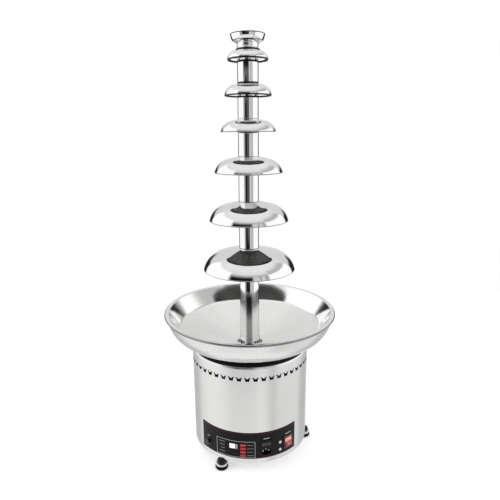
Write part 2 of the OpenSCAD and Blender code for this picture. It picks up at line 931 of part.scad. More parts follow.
module auger_flight()
{
    turns = (flight_top - flight_z) / flight_pitch;
    n = ceil(turns * flight_steps);
    inner = core_r / cos(180 / flight_steps) + eps;
    pts = [for (k = [0:n]) let (a = k * 360 / flight_steps, z = flight_z + k * flight_pitch / flight_steps)
        for (q = [[inner, 0], [flight_r, 0], [flight_r, flight_t], [inner, flight_t]])
        [q[0] * cos(a), q[0] * sin(a), z + q[1]]];
    sides = [for (k = [0:n - 1]) for (j = [0:3]) let (a = 4 * k + j, b = 4 * k + (j + 1) % 4)
        for (t = [[a, a + 4, b + 4], [a, b + 4, b]]) t];
    ends = [[0, 1, 2], [0, 2, 3], [4 * n + 2, 4 * n + 1, 4 * n], [4 * n + 3, 4 * n + 2, 4 * n]];
    color(steel)
    polyhedron(points = pts, faces = concat(sides, ends));
}

module control_board()
{
    color(board_green)
    union()
    {
        on_front(board_turn, 0, board_z + board_h / 2)
        block(board_w, board_h, board_at - board_t, board_at);
        for (k = [0:key_n - 1])
        on_front(button_turn, 0, button_z + k * button_pitch)
        block(tact_w, tact_h, board_at - board_t, button_back - button_travel - slide_fit);
    }
}

module board_standoffs()
{
    across = board_w / 2 - standoff_in;
    color(steel)
    for (s = [-1, 1])
    on_front(board_turn, 0, board_z + board_h / 2)
    translate([s * across, 0, 0])
    rod(standoff_r, board_at, sqrt(pow(housing_in, 2) - pow(across + standoff_r, 2)));
}

module control_panel()
{
    color(black)
    difference()
    {
        rotate([0, 0, -90 - panel_half])
        rotate_extrude(angle = 2 * panel_half)
        translate([panel_back, panel_z])
        square([panel_t, panel_h]);
        panel_openings(housing_r - deep_cut, panel_face + deep_cut);
    }
}

module display()
{
    color(pale)
    on_front(display_turn, 0, display_z)
    block(display_w, display_h, board_at + sheet, panel_face + display_out);
}

// one key with the flange that keeps it behind the wall
module key(k)
{
    color(red)
    on_front(button_turn, 0, button_z + k * button_pitch)
    union()
    {
        block(button_w, button_h, button_back, panel_face + button_out);
        block(button_w + 2 * button_lip, button_h + 2 * button_lip, button_back, housing_in - button_gap);
    }
}

module button_1()
{
    key(3);
}

module button_2()
{
    key(2);
}

module button_3()
{
    key(1);
}

module button_4()
{
    key(0);
}

module rocker_frame()
{
    color(black)
    on_front(switch_turn, 0, switch_z)
    difference()
    {
        union()
        {
            block(switch_w, switch_h, panel_face, switch_face);
            block(switch_w - switch_rim, switch_h - switch_rim, housing_in - switch_deep, panel_face);
        }
        block(cave_w, cave_h, switch_pivot - switch_cave, switch_face + cut);
        translate([-cave_w / 2 - pivot_in - seat_fit, switch_pivot, 0])
        rotate([0, 90, 0])
        cylinder(r = pivot_r + run_fit, h = cave_w + 2 * (pivot_in + seat_fit));
    }
}

module rocker()
{
    half = cave_h / 2 - rocker_end;
    color(red)
    on_front(switch_turn, switch_pivot, switch_z)
    rotate([0, 180, 0])
    rotate([-rocker_tilt, 0, 0])
    union()
    {
        translate([-cave_w / 2 + slide_fit, 0, 0])
        rotate([90, 0, 90])
        linear_extrude(height = cave_w - 2 * slide_fit)
        polygon([[rocker_skirt, -half], [rocker_tip, -half], [rocker_dip, 0], [rocker_tip, half],
            [rocker_skirt, half], [-rocker_keel, rocker_keel_w], [-rocker_keel, -rocker_keel_w]]);
        translate([-cave_w / 2 - pivot_in, 0, 0])
        rotate([0, 90, 0])
        cylinder(r = pivot_r, h = cave_w + 2 * pivot_in);
    }
}

module fuse_holder()
{
    color(black)
    on_front(fuse_turn, 0, fuse_z)
    difference()
    {
        union()
        {
            rod(fuse_body_r, housing_in - fuse_deep, panel_face + eps);
            rod(fuse_flange_r, panel_face, fuse_face);
        }
        rod(fuse_plug_r + run_fit, housing_in - fuse_deep + fuse_floor, fuse_face + cut);
    }
}

module fuse_cap()
{
    color(black)
    on_front(fuse_turn, 0, fuse_z)
    difference()
    {
        union()
        {
            rod(fuse_cap_r, fuse_face + slide_fit, panel_face + fuse_cap_h);
            rod(fuse_plug_r, housing_in - fuse_plug_deep, panel_face + fuse_cap_h);
        }
        block(2 * fuse_cap_r + 2 * cut, fuse_slot_w,
            panel_face + fuse_cap_h - fuse_slot_d, panel_face + fuse_cap_h + cut);
    }
}

module inlet_body()
{
    color(black)
    on_front(inlet_turn, 0, inlet_z)
    difference()
    {
        union()
        {
            translate([0, 0, (inlet_h - socket_h) / 2 - inlet_below])
            block(inlet_w, inlet_h, panel_face, inlet_face);
            block(socket_w + 2 * sheet, socket_h + 2 * sheet,
                inlet_face - socket_d - socket_back, inlet_face);
        }
        block(socket_w, socket_h, inlet_face - socket_d, inlet_face + cut);
        translate([0, 0, socket_h / 2 + drawer_up])
        block(socket_w, drawer_h, inlet_face - drawer_d, inlet_face + cut);
    }
}

module inlet_pins()
{
    color(steel)
    on_front(inlet_turn, 0, inlet_z)
    for (q = [[-pin_at, pin_side_z], [pin_at, pin_side_z], [0, pin_mid_z]])
    translate([q[0], 0, q[1]])
    block(pin_w, pin_h, inlet_face - socket_d, inlet_face - pin_short);
}

module indicator_lamps()
{
    color(pale)
    for (k = [0:lamp_n - 1])
    on_front(lamp_turn, 0, lamp_z + k * lamp_pitch)
    union()
    {
        rod(lamp_body_r, housing_in - lamp_deep, panel_face + eps);
        rod(lamp_r, panel_face, panel_face + lamp_out);
    }
}

// the feet's places
module foot_place(k)
{
    rotate([0, 0, foot_turn + k * 360 / foot_n])
    translate([0, -foot_at, 0])
    children();
}

module foot_brackets()
{
    color(black)
    for (k = [0:foot_n - 1])
    foot_place(k)
    difference()
    {
        union()
        {
            translate([0, 0, boss_z])
            cylinder(r = boss_r, h = base_z - boss_z);
            translate([-arm_w / 2, 0, base_z - arm_t])
            cube([arm_w, arm_l, arm_t]);
        }
        translate([0, 0, boss_z - cut])
        cylinder(r = stud_r + slide_fit, h = stud_top - boss_z + 2 * cut);
    }
}

module foot_stud(k)
{
    color(steel)
    foot_place(k)
    union()
    {
        translate([0, 0, pad_h])
        cylinder(r = ring_r, h = ring_h);
        translate([0, 0, pad_h])
        cylinder(r = stud_r, h = stud_top - pad_h);
    }
}

module foot_pad(k)
{
    color(black)
    foot_place(k)
    cylinder(r = pad_r, h = pad_h);
}

module foot_stud_1()
{
    foot_stud(0);
}

module foot_stud_2()
{
    foot_stud(1);
}

module foot_stud_3()
{
    foot_stud(2);
}

module foot_pad_1()
{
    foot_pad(0);
}

module foot_pad_2()
{
    foot_pad(1);
}

module foot_pad_3()
{
    foot_pad(2);
}

// a length of tower tube with its neck and a shoulder for a canopy, standing on the tier below or on the basin's floor
module riser(i)
{
    last = i == tiers - 1;
    z0 = last ? floor_z : step_z(i + 1);
    difference()
    {
        rotate_extrude()
        polygon(concat(
            last ? [[tube_bore, z0], [collar_r, z0], [collar_r, z0 + collar_h],
                [tube_r, z0 + collar_h + tube_lead]]
                : [[socket_bore, z0], [tube_r - tube_lead, z0], [tube_r, z0 + 2 * tube_lead]],
            [[tube_r, seat_z(i)], [neck_r, seat_z(i)], [neck_r, step_z(i) + neck_in],
            [tube_bore, step_z(i) + neck_in]],
            last ? [] : [[tube_bore, z0 + neck_in], [socket_bore, z0 + neck_in]]));
        if (last)
        for (k = [0:intake_n - 1])
        rotate([0, 0, (k + 1 / 2) * 360 / intake_n])
        translate([0, -intake_w / 2, floor_z - cut])
        cube([collar_r + deep_cut, intake_w, intake_h + cut]);
    }
    if (last)
    for (k = [0:intake_n - 1])
    rotate([0, 0, k * 360 / intake_n])
    translate([tube_bore + cut, -tab_w / 2, floor_z])
    cube([tab_r - tube_bore - cut, tab_w, tab_h]);
}

module riser_1()
{
    color(steel)
    riser(0);
}

module riser_2()
{
    color(steel)
    riser(1);
}

module riser_3()
{
    color(steel)
    riser(2);
}

module riser_4()
{
    color(steel)
    riser(3);
}

module riser_5()
{
    color(steel)
    riser(4);
}

module riser_6()
{
    color(steel)
    riser(5);
}

// section of what lies under a canopy's face: a circle for the curve and a cone inwards from it
module cap_section(i, r, from, low)
{
    edge = cap_at(i, r);
    intersection()
    {
        union()
        {
            translate([curve_at[i], dome_z(i)])
            circle(r = r);
            polygon([[from, low], [edge[0], low], edge, [from, cap_z(i, r, from)]]);
        }
        translate([from, low])
        square([far, far]);
    }
}

// a spun dome with a hub that stands on the tube's shoulder and a bead on its edge
module canopy(i)
{
    r = dome_r(i);
    edge_z = lip_z[i] - dome_h[i];
    rotate_extrude()
    union()
    {
        difference()
        {
            cap_section(i, r, hole_r, edge_z);
            cap_section(i, r - canopy_t, hole_r + canopy_t, edge_z - cut);
            translate([hole_r - cut, edge_z - cut])
            square([canopy_t + 2 * cut, seat_z(i) - edge_z + cut]);
        }
        translate([canopy_r[i] - bead_r + bead_out, edge_z])
        circle(r = bead_r);
    }
}

module canopy_1()
{
    color(steel)
    canopy(0);
}

module canopy_2()
{
    color(steel)
    canopy(1);
}

module canopy_3()
{
    color(steel)
    canopy(2);
}

module canopy_4()
{
    color(steel)
    canopy(3);
}

module canopy_5()
{
    color(steel)
    canopy(4);
}

module canopy_6()
{
    color(steel)
    canopy(5);
}

module crown()
{
    z0 = step_z(0);
    low = top_z(0) + neck_fit;
    color(steel)
    rotate_extrude()
    polygon([[socket_bore, low], [skirt_r - crown_edge, low], [skirt_r, low + crown_edge], [waist_r, waist_z],
        [tube_r, waist_z + sheet], [tube_r, cup_neck_z], [cup_low_r, cup_low_z],
        [crown_r, crown_z - crown_edge], [crown_r, crown_z], [crown_r - sheet, crown_z],
        [cup_low_r - sheet, cup_floor_z], [tube_bore, cup_floor_z],
        [tube_bore, z0 + neck_in], [socket_bore, z0 + neck_in]]);
}

base_plate();
base_screws();
housing();
top_deck();
basin_seal();
basin();
basin_jacket();
shaft_bush();
shaft_seal();
heater_plate();
thermostat();
gear_plate_lower();
gear_plate_upper();
gear_pillars();
bearing_lower();
bearing_upper();
motor_can();
motor_rotor();
pinion();
output_shaft();
drive_gear();
auger_core();
auger_flight();
control_board();
board_standoffs();
control_panel();
display();
button_1();
button_2();
button_3();
button_4();
rocker_frame();
rocker();
fuse_holder();
fuse_cap();
inlet_body();
inlet_pins();
indicator_lamps();
foot_brackets();
foot_stud_1();
foot_stud_2();
foot_stud_3();
foot_pad_1();
foot_pad_2();
foot_pad_3();
riser_1();
riser_2();
riser_3();
riser_4();
riser_5();
riser_6();
canopy_1();
canopy_2();
canopy_3();
canopy_4();
canopy_5();
canopy_6();
crown();
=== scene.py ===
import bpy
import bmesh
from math import asin, atan2, ceil, copysign, cos, degrees, hypot, pi, radians, sin, sqrt, tan
from mathutils import Matrix, Vector
from mathutils.geometry import delaunay_2d_cdt


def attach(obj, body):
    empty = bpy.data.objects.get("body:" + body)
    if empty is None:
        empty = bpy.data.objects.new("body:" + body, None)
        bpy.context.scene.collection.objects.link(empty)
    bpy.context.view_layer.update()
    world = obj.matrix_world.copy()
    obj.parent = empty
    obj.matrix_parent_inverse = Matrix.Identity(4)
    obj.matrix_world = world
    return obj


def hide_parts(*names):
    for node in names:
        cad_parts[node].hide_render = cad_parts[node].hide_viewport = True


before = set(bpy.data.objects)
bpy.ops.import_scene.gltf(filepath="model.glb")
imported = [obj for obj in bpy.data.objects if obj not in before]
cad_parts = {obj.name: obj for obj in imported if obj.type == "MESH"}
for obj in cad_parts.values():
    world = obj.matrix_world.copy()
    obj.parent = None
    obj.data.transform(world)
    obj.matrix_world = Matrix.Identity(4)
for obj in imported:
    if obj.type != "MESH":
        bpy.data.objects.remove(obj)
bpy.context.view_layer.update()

MM = 0.001
TAU = 2 * pi

# Sizes in millimetres and turns in degrees, as in the part's source
# Turn 0 is the front, and turns grow to the right
SHEET = 1.5
SLIDE_FIT = 0.35
NECK_FIT = 0.3

# Tubes of the tower
TUBE_R = 24.4
TUBE_BORE = 21.6
NECK_R = 22.6
NECK_IN = 15
SOCKET_BORE = NECK_R + NECK_FIT
COLLAR_DROP = 9
TUBE_GAP = 0.2
COLLAR_R = 25.8
COLLAR_H = 13
INTAKE_W = 16
INTAKE_H = 9
TAB_W = 8
TAB_H = 3
TAB_R = 32
FOOT_LINE = 2.4

# Domes, from the top one down
CANOPY_R = [46.5, 54.3, 64.6, 81.4, 96, 113.4]
CURVE_AT = [27.2, 28.6, 33.6, 41.5, 49, 59.2]
LIP_Z = [987, 915.5, 836.5, 749.5, 641, 523]
DOME_H = [19, 24, 24.6, 31.5, 38.3, 42.8]
DOME_N = len(DOME_H)
HOLE_R = NECK_R + SLIDE_FIT
CAP_SLOPE = 14
CANOPY_T = 1.5
BEAD_R = 1.4
BEAD_OUT = 0.3

# Crown cup
CROWN_R = 39.4
CROWN_Z = 1022
SKIRT_R = 29
WAIST_R = 23.6
WAIST_Z = CROWN_Z - 28.5
CUP_R = 34.8
CUP_DEPTH = 13

# Screw
CORE_R = 8
CORE_LOW = 288
CORE_TOP = 1005
CORE_ROUND = 3
FLIGHT_R = 20.6
FLIGHT_T = 2.5
FLIGHT_LOW = 292
FLIGHT_HIGH = 996
FLIGHT_PITCH = 60

# Basin, its jacket and the seal under it
SHAFT_HOLE_R = 12.1
FLOOR_Z = 282
FLAT_R = 36
WALL_R = 178
WALL_Z = 329
LIP_R = 205
RIM_R = 216
RIM_Z = 372
ROLL_R = 3.4
CREASE_R = 150
CREASE_Z = 302
JACKET_R = 143
JACKET_CURVE = 66
SEAL_R = 146.3
SEAL_W = 20.3
SEAL_Z = 281.5
SEAL_H = 7
SEAL_TOP = SEAL_Z + SEAL_H

# Housing and its vents
HOUSING_R = 148.5
HOUSING_H = 257
BASE_Z = 26
VENT_N = 48
VENT_Z = 252.5
VENT_W = 7.2
VENT_H = 5.6

# Control panel; what sits on it is given as turn, height, width and height of the piece
PANEL_BACK = 148.8
PANEL_FACE = 150.0
PANEL_HALF = 50
PANEL_Z = 40
PANEL_H = 70.5
INK_BACK = PANEL_FACE - 0.05
INK_FACE = PANEL_FACE + 0.06
DISPLAY = (-13.4, 73, 22, 15)
DISPLAY_BACK = 143
DISPLAY_FACE = 150.4
KEY_TURN = -4.4
KEY_Z = 49.6
KEY_PITCH = 9.5
KEY_W = 13.6
KEY_H = 5.8
KEY_OUT = 1.6
KEY_BACK = 143.0
KEY_CROWN = 0.15
SWITCH = (40.6, 68, 27, 34)
SWITCH_RIM = 3.4
SWITCH_FACE = 151.7
SWITCH_PIVOT = 148.3
ROCKER_TILT = 8
# Half the rocker's height, over which its upper half carries a painted highlight
ROCKER_HIGHLIGHT_HALF = 12.3
ROCKER_OUT = 4.4
ROCKER_RISE = 1.2
MARK_Z = 6.6
FUSE = (-41.4, 62)
FUSE_BORE = 4.45
FUSE_R = 5.8
KNOB_R = 6.8
INLET = (17.3, 58, 28, 44)
INLET_FACE = 151.6
SOCKET_W = 23.4
SOCKET_H = 17
SOCKET_D = 16
LAMP_TURN = 31.5
LAMP_ZS = (53.4, 73.4)
LAMP_R = 2.6
BEYOND = 160

# Feet
FOOT_AT = 146
FOOT_TURN = -27
PAD_R = 16
PAD_H = 8
RING_R = 14.6
RING_H = 7
RING_TOP = PAD_H + RING_H
BOSS_R = 11.5
STUD_R = 4


class Tree:
    """Writes nodes into a tree. A value that is a socket is linked, any other is set on the socket."""

    def __init__(self, tree):
        self.tree = tree
        tree.nodes.clear()

    def add(self, kind, inputs=None, **settings):
        node = self.tree.nodes.new("ShaderNode" + kind)
        for key, value in settings.items():
            setattr(node, key, value)
        for key, value in (inputs or {}).items():
            self.put(node.inputs[key], value)
        return node

    def put(self, socket, value):
        if isinstance(value, bpy.types.NodeSocket):
            self.tree.links.new(value, socket)
        else:
            socket.default_value = value

    def math(self, operation, *values):
        node = self.add("Math", operation=operation)
        for socket, value in zip(node.inputs, values):
            self.put(socket, value)
        return node.outputs[0]

    def plus(self, a, b):
        return self.math("ADD", a, b)

    def times(self, a, b):
        return self.math("MULTIPLY", a, b)

    def weigh(self, a, share, b):
        """A share of a, and the rest of b."""
        return self.plus(self.times(a, share), self.times(b, 1.0 - share))

    def span(self, value, low, high, out_low=0.0, out_high=1.0, kind="LINEAR"):
        """Maps low and high to out_low and out_high."""
        inputs = {"Value": value, "From Min": low, "From Max": high, "To Min": out_low, "To Max": out_high}
        return self.add("MapRange", inputs, interpolation_type=kind).outputs["Result"]

    def step(self, value, low, high):
        """A smooth step from 0 at low to 1 at high."""
        return self.span(value, low, high, kind="SMOOTHSTEP")

    def mix(self, share, a, b):
        return self.add("Mix", {0: share, 6: a, 7: b}, data_type="RGBA").outputs[2]

    def noise(self, vector, scale, detail=2.0, rough=0.5):
        inputs = {"Vector": vector, "Scale": scale, "Detail": detail, "Roughness": rough}
        return self.add("TexNoise", inputs).outputs["Fac"]

    def object_place(self):
        return self.add("TexCoord").outputs["Object"]

    def split(self, vector):
        return self.add("SeparateXYZ", {"Vector": vector}).outputs

    def vector(self, x, y, z):
        return self.add("CombineXYZ", {"X": x, "Y": y, "Z": z}).outputs[0]

    def bump(self, height, strength, distance):
        inputs = {"Height": height, "Strength": strength, "Distance": distance}
        return self.add("Bump", inputs).outputs[0]

    def principled(self, inputs):
        """Ends a material in one Principled shader."""
        shader = self.add("BsdfPrincipled", inputs)
        self.add("OutputMaterial", {"Surface": shader.outputs[0]})


def rgb(tone, factor=1.0):
    """A colour socket's value from one grey level or from three levels, times a factor."""
    levels = (tone,) * 3 if isinstance(tone, float) else tone
    return (*[level * factor for level in levels], 1.0)


def new_material(name):
    material = bpy.data.materials.new(name)
    material.use_nodes = True
    return material, Tree(material.node_tree)


def cylinder_place(t):
    """Object coordinates, and from them radius, turn and height about the tower's axis."""
    xyz = t.object_place()
    x, y, z = t.split(xyz)
    radius = t.math("SQRT", t.plus(t.times(x, x), t.times(y, y)))
    return xyz, radius, t.math("ARCTAN2", y, x), z


def steel(name, tone, rough, spread, lines, bump, across=700.0, along=6.0, anisotropy=0.0, quarter=0.0,
          painted_rays=0.0, low=None):
    """Stainless steel with polishing lines round the axis, faint clouding and uneven gloss.
    lines is the share of the polishing lines in what is uneven; across and along are how dense they are.
    streaks is the strength of soft dark rays, painted reflections of the room. low, if given, is (height,
    width, fade, tone): under that height, in metres, the steel is satin with four dark bands of painted
    reflection, which pale under the height fade."""
    material, t = new_material(name)
    xyz, radius, turn, z = cylinder_place(t)
    stretched = t.vector(t.times(radius, across), t.times(turn, along), t.times(z, across))
    hair = t.noise(stretched, 1.0, 3.0, 0.6)
    cloud = t.noise(xyz, 16.0, 3.0)
    grain = t.noise(xyz, 130.0)
    uneven = t.weigh(hair, lines, cloud)
    roughness = t.span(uneven, 0.25, 0.75, rough - spread, rough + spread)
    color = t.mix(t.span(uneven, 0.3, 0.7), rgb(tone, 0.93), rgb(tone))
    # Painted reflection: soft dark rays round the axis that stand in for the room seen in the steel
    if painted_rays:
        fan = t.vector(t.math("COSINE", turn), t.math("SINE", turn), t.times(radius, 3.0))
        ray = t.noise(fan, 2.6, 4.0, 0.6)
        color = t.mix(t.span(ray, 0.35, 0.65, 0.0, painted_rays), color, rgb(tone, 0.72))
    # Painted reflection: four dark bands round the foot of the tower, paler lower down; the added roughness
    # there is the real satin finish
    if low:
        level, width, fade, low_tone = low
        wave = t.plus(t.math("COSINE", t.times(turn, 4.0)), t.times(cloud, 0.3))
        paled = t.step(z, fade + width, fade - width)
        band = t.mix(paled, rgb(low_tone, 0.08), rgb(low_tone, 0.34))
        lower = t.step(z, level + width, level - width)
        color = t.mix(lower, color, t.mix(t.step(wave, 0.05, 0.95), rgb(low_tone), band))
        roughness = t.plus(roughness, t.times(lower, 0.2))
    t.principled({"Base Color": color, "Metallic": 1.0, "Roughness": roughness,
                  "Normal": t.bump(t.weigh(hair, 0.8, grain), bump, 0.00012),
                  "Anisotropic": anisotropy, "Anisotropic Rotation": quarter})
    return material


def plastic(name, tone, rough, grain=900.0, bump=0.12, variation=0.12, coat=0.0, coat_rough=0.1, glow=0.0,
            shine=0.5):
    """Moulded plastic, rubber, film or ink: fine grain, uneven gloss and slight changes of tone."""
    material, t = new_material(name)
    xyz = t.object_place()
    grit = t.noise(xyz, grain, 3.0, 0.6)
    cloud = t.noise(xyz, 35.0, 3.0)
    color = t.mix(cloud, rgb(tone, 1 - variation), rgb(tone, 1 + variation))
    roughness = t.span(t.weigh(grit, 0.4, cloud), 0.3, 0.7, max(0.02, rough - 0.06), rough + 0.06)
    inputs = {"Base Color": color, "Roughness": roughness, "Normal": t.bump(grit, bump, 0.0001),
              "Coat Weight": coat, "Coat Roughness": coat_rough, "Specular IOR Level": shine}
    if glow:
        inputs["Emission Color"] = rgb(tone)
        inputs["Emission Strength"] = glow
    t.principled(inputs)
    return material


def rocker_material(name, middle, half):
    """Red plastic with a painted highlight: its upper half is lighter and glows, and the whole rocker glows
    faintly; middle and half are heights in metres.
    """
    material, t = new_material(name)
    xyz = t.object_place()
    z = t.split(xyz)["Z"]
    # glow masks the painted highlight on the rocker's upper half
    glow = t.times(t.step(z, middle - 0.1 * half, middle + 0.35 * half),
                   t.step(z, middle + 1.1 * half, middle + 0.6 * half))
    cloud = t.noise(xyz, 160.0, 3.0)
    deep = t.mix(cloud, rgb((0.30, 0.016, 0.016)), rgb((0.46, 0.03, 0.028)))
    color = t.mix(glow, deep, rgb((0.86, 0.30, 0.26)))
    t.principled({"Base Color": color, "Roughness": t.span(cloud, 0.3, 0.7, 0.14, 0.22),
                  "Normal": t.bump(t.noise(xyz, 700.0), 0.05, 0.0001),
                  "Coat Weight": 0.5, "Coat Roughness": 0.06,
                  "Emission Color": color, "Emission Strength": t.span(glow, 0.0, 1.0, 0.06, 0.42)})
    return material


def board_material(name):
    """Green solder mask with copper tracks under it."""
    material, t = new_material(name)
    tracks = t.add("TexVoronoi", {"Vector": t.object_place(), "Scale": 260.0},
                   distance="MANHATTAN", feature="DISTANCE_TO_EDGE")
    line = t.step(tracks.outputs["Distance"], 0.05, 0.09)
    color = t.mix(line, rgb((0.11, 0.36, 0.17)), rgb((0.03, 0.22, 0.09)))
    t.principled({"Base Color": color, "Roughness": 0.32, "Normal": t.bump(line, 0.3, 0.00005)})
    return material


def lit_material(name, tone, strength):
    """A back-lit window with slightly uneven light."""
    material, t = new_material(name)
    color = t.mix(t.noise(t.object_place(), 120.0), rgb(tone, 0.9), rgb(tone))
    t.principled({"Base Color": color, "Roughness": 0.25,
                  "Emission Color": color, "Emission Strength": strength})
    return material


STEEL_TONE = (0.87, 0.87, 0.865)
# Dark bands of painted reflection low on the tower's foot: height, width and fade in metres, then the tone
FOOT_TUBE_PAINTED_BANDS = (0.418, 0.016, 0.358, (0.88, 0.88, 0.875))
COARSE = {"across": 400, "along": 8}
MAT = {
    "polished": steel("polished_steel", STEEL_TONE, 0.035, 0.012, 0.5, 0.012),
    "foot_tube": steel("foot_tube_painted_bands_steel", STEEL_TONE, 0.05, 0.02, 0.5, 0.012, low=FOOT_TUBE_PAINTED_BANDS),
    "dome": steel("dome_steel", (0.88, 0.88, 0.875), 0.06, 0.02, 0.6, 0.02),
    # The domes' insides: rougher steel, darkened as painted shade
    "dome_inside": steel("dome_inside_painted_shade_steel", (0.20, 0.20, 0.195), 0.55, 0.04, 0.6, 0.02),
    # Near-black steel for painted shadow lines at the top tube's foot, the crown and the small domes' rims
    "edge": steel("painted_shadow_line_steel", (0.035, 0.035, 0.035), 0.25, 0.05, 0.6, 0.03),
    # Darker steel for painted lines of shade at the large domes' rims, the basin's rim and the housing's
    # lower edge
    "bead": steel("painted_shade_line_steel", (0.30, 0.30, 0.295), 0.22, 0.05, 0.6, 0.03),
    # The basin's wall and floor carry rays of painted reflection
    "basin": steel("basin_steel", (0.94, 0.94, 0.93), 0.11, 0.03, 0.6, 0.02, anisotropy=0.6, quarter=0.25,
                   painted_rays=0.10),
    "basin_floor": steel("basin_floor_steel", (0.95, 0.95, 0.94), 0.30, 0.05, 0.6, 0.02, painted_rays=0.22),
    # Dark steel for the housing's inside: painted shade behind the vents
    "shade": steel("housing_inside_painted_shade_steel", (0.10, 0.10, 0.10), 0.6, 0.1, 0.5, 0.05),
    "pin": steel("pin_metal", (0.92, 0.90, 0.86), 0.5, 0.08, 0.5, 0.05),
    "satin": steel("satin_steel", (0.83, 0.83, 0.82), 0.24, 0.04, 0.75, 0.05, anisotropy=0.3),
    "jacket": steel("jacket_steel", (0.86, 0.86, 0.85), 0.26, 0.04, 0.75, 0.05, anisotropy=0.3),
    "ring": steel("ring_steel", (0.86, 0.86, 0.85), 0.34, 0.06, 0.5, 0.06, **COARSE),
    "plain": steel("plain_steel", (0.70, 0.70, 0.69), 0.28, 0.07, 0.5, 0.12, **COARSE),
    "bronze": steel("bronze", (0.62, 0.44, 0.22), 0.33, 0.08, 0.5, 0.15, **COARSE),
    "aluminium": steel("heater_metal", (0.62, 0.62, 0.63), 0.45, 0.08, 0.3, 0.25, across=300, along=8),
    "iron": plastic("motor_iron", (0.06, 0.06, 0.065), 0.38, grain=500, bump=0.2),
    "rubber": plastic("black_rubber", (0.008, 0.008, 0.008), 0.6, grain=700, bump=0.25, variation=0.2,
                      shine=0.12),
    "black": plastic("black_plastic", (0.008, 0.008, 0.009), 0.3, variation=0.2, shine=0.2),
    "gloss": plastic("gloss_black", (0.006, 0.006, 0.007), 0.12, grain=600, bump=0.012, variation=0.2,
                     coat=0.6),
    "boss": plastic("boss_black", (0.005, 0.005, 0.006), 0.16, grain=600, bump=0.01, variation=0.2,
                    shine=0.3),
    "film": plastic("panel_film", (0.010, 0.009, 0.011), 0.36, grain=1400, bump=0.10, variation=0.15,
                    shine=0.14),
    # The keys' glow is painted light: no lamp is behind them
    "red": plastic("red_plastic", (0.50, 0.03, 0.03), 0.2, grain=700, bump=0.06, variation=0.35, coat=0.5,
                   coat_rough=0.06, glow=0.10),
    "red_line": plastic("red_ink", (0.13, 0.010, 0.016), 0.4, grain=1200, bump=0.1, shine=0.2),
    "white_ink": plastic("white_ink", (0.66, 0.66, 0.66), 0.45, grain=1200, bump=0.1),
    "grey_ink": plastic("grey_ink", (0.30, 0.30, 0.30), 0.45, grain=1200, bump=0.1),
    "lens": plastic("pale_lens", (0.72, 0.72, 0.70), 0.18, grain=500, bump=0.05, variation=0.06, coat=0.5,
                    coat_rough=0.06, glow=0.12),
    "window": plastic("display_window", (0.02, 0.02, 0.022), 0.10, bump=0.03, variation=0.2, coat=0.5),
    "board": board_material("circuit_board"),
    "rocker": rocker_material("rocker_red", SWITCH[1] * MM, ROCKER_HIGHLIGHT_HALF * MM),
    "lit": lit_material("display_light", (0.95, 0.97, 1.0), 0.55),
    "dim": lit_material("display_dim", (0.42, 0.43, 0.45), 0.12),
}


def face_outwards(bm):
    """Turns the faces of each closed shell outwards."""
    bmesh.ops.recalc_face_normals(bm, faces=bm.faces)
    left = set(bm.faces)
    while left:
        stack = [left.pop()]
        shell = []
        while stack:
            face = stack.pop()
            shell.append(face)
            beside = {other for edge in face.edges for other in edge.link_faces} & left
            left -= beside
            stack.extend(beside)
        volume = sum(face.normal.dot(face.calc_center_median()) * face.calc_area() for face in shell)
        if volume < 0:
            bmesh.ops.reverse_faces(bm, faces=shell)


def to_mesh(name, bm):
    """Turns a bmesh into a mesh and frees it."""
    mesh = bpy.data.meshes.new(name)
    bm.to_mesh(mesh)
    bm.free()
    return mesh


def add_object(name, data):
    """Puts a mesh, a lamp or a camera into the scene."""
    obj = bpy.data.objects.new(name, data)
    bpy.context.scene.collection.objects.link(obj)
    return obj


def place_object(name, bm, place):
    """Turns a bmesh in millimetres into an object in metres, with its faces outwards."""
    if place is not None:
        bm.transform(place)
    face_outwards(bm)
    bm.transform(Matrix.Scale(MM, 4))
    return add_object(name, to_mesh(name, bm))


def smooth(mesh, sharp):
    """Smooth shading, apart from edges sharper than so many degrees."""
    mesh.polygons.foreach_set("use_smooth", [True] * len(mesh.polygons))
    mesh.set_sharp_from_angle(angle=radians(sharp))


SHARP = 34


def piece(name, bm, look, node=None, body="base", sharp=SHARP, place=None):
    """Makes a piece of a bmesh. It rides on a body, and stands for a CAD node where one is named."""
    obj = place_object(name, bm, place)
    smooth(obj.data, sharp)
    obj.data.materials.append(MAT[look])
    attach(obj, body)
    if node:
        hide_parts(node)
    return obj


def paint(obj, looks, choose):
    """Adds looks to a piece. choose gives each face's look from its middle: 0 is the piece's own look."""
    for look in looks:
        obj.data.materials.append(MAT[look])
    for face in obj.data.polygons:
        face.material_index = choose(face.center / MM)


def cut_out(obj, outline, y0, y1, places):
    """Cuts an outline, drawn out from depth y0 to y1, out of a piece at each of the places."""
    cutters = [place_object("cutter", prism(outline, y0, y1), place) for place in places]
    for cut in cutters:
        modifier = obj.modifiers.new("cut", "BOOLEAN")
        modifier.operation = "DIFFERENCE"
        modifier.solver = "EXACT"
        modifier.object = cut
    graph = bpy.context.evaluated_depsgraph_get()
    mesh = bpy.data.meshes.new_from_object(obj.evaluated_get(graph))
    obj.modifiers.clear()
    whole = obj.data
    obj.data = mesh
    mesh.name = obj.name
    bpy.data.meshes.remove(whole)
    smooth(mesh, SHARP)
    for cut in cutters:
        bpy.data.meshes.remove(cut.data)


def join(bm, part, place):
    """Places one bmesh, adds it to another and frees it."""
    part.transform(place)
    mesh = to_mesh("part", part)
    bm.from_mesh(mesh)
    bpy.data.meshes.remove(mesh)


def front(turn, out, z):
    """Places a piece at a turn: X to the right, Y outwards from radius out, Z up, as seen from outside."""
    a = radians(turn)
    across = Vector((cos(a), sin(a), 0))
    outward = Vector((sin(a), -cos(a), 0))
    place = Matrix.Identity(4)
    for i in range(3):
        place[i][0] = across[i]
        place[i][1] = outward[i]
        place[i][3] = outward[i] * out
    place[2][3] = z
    return place


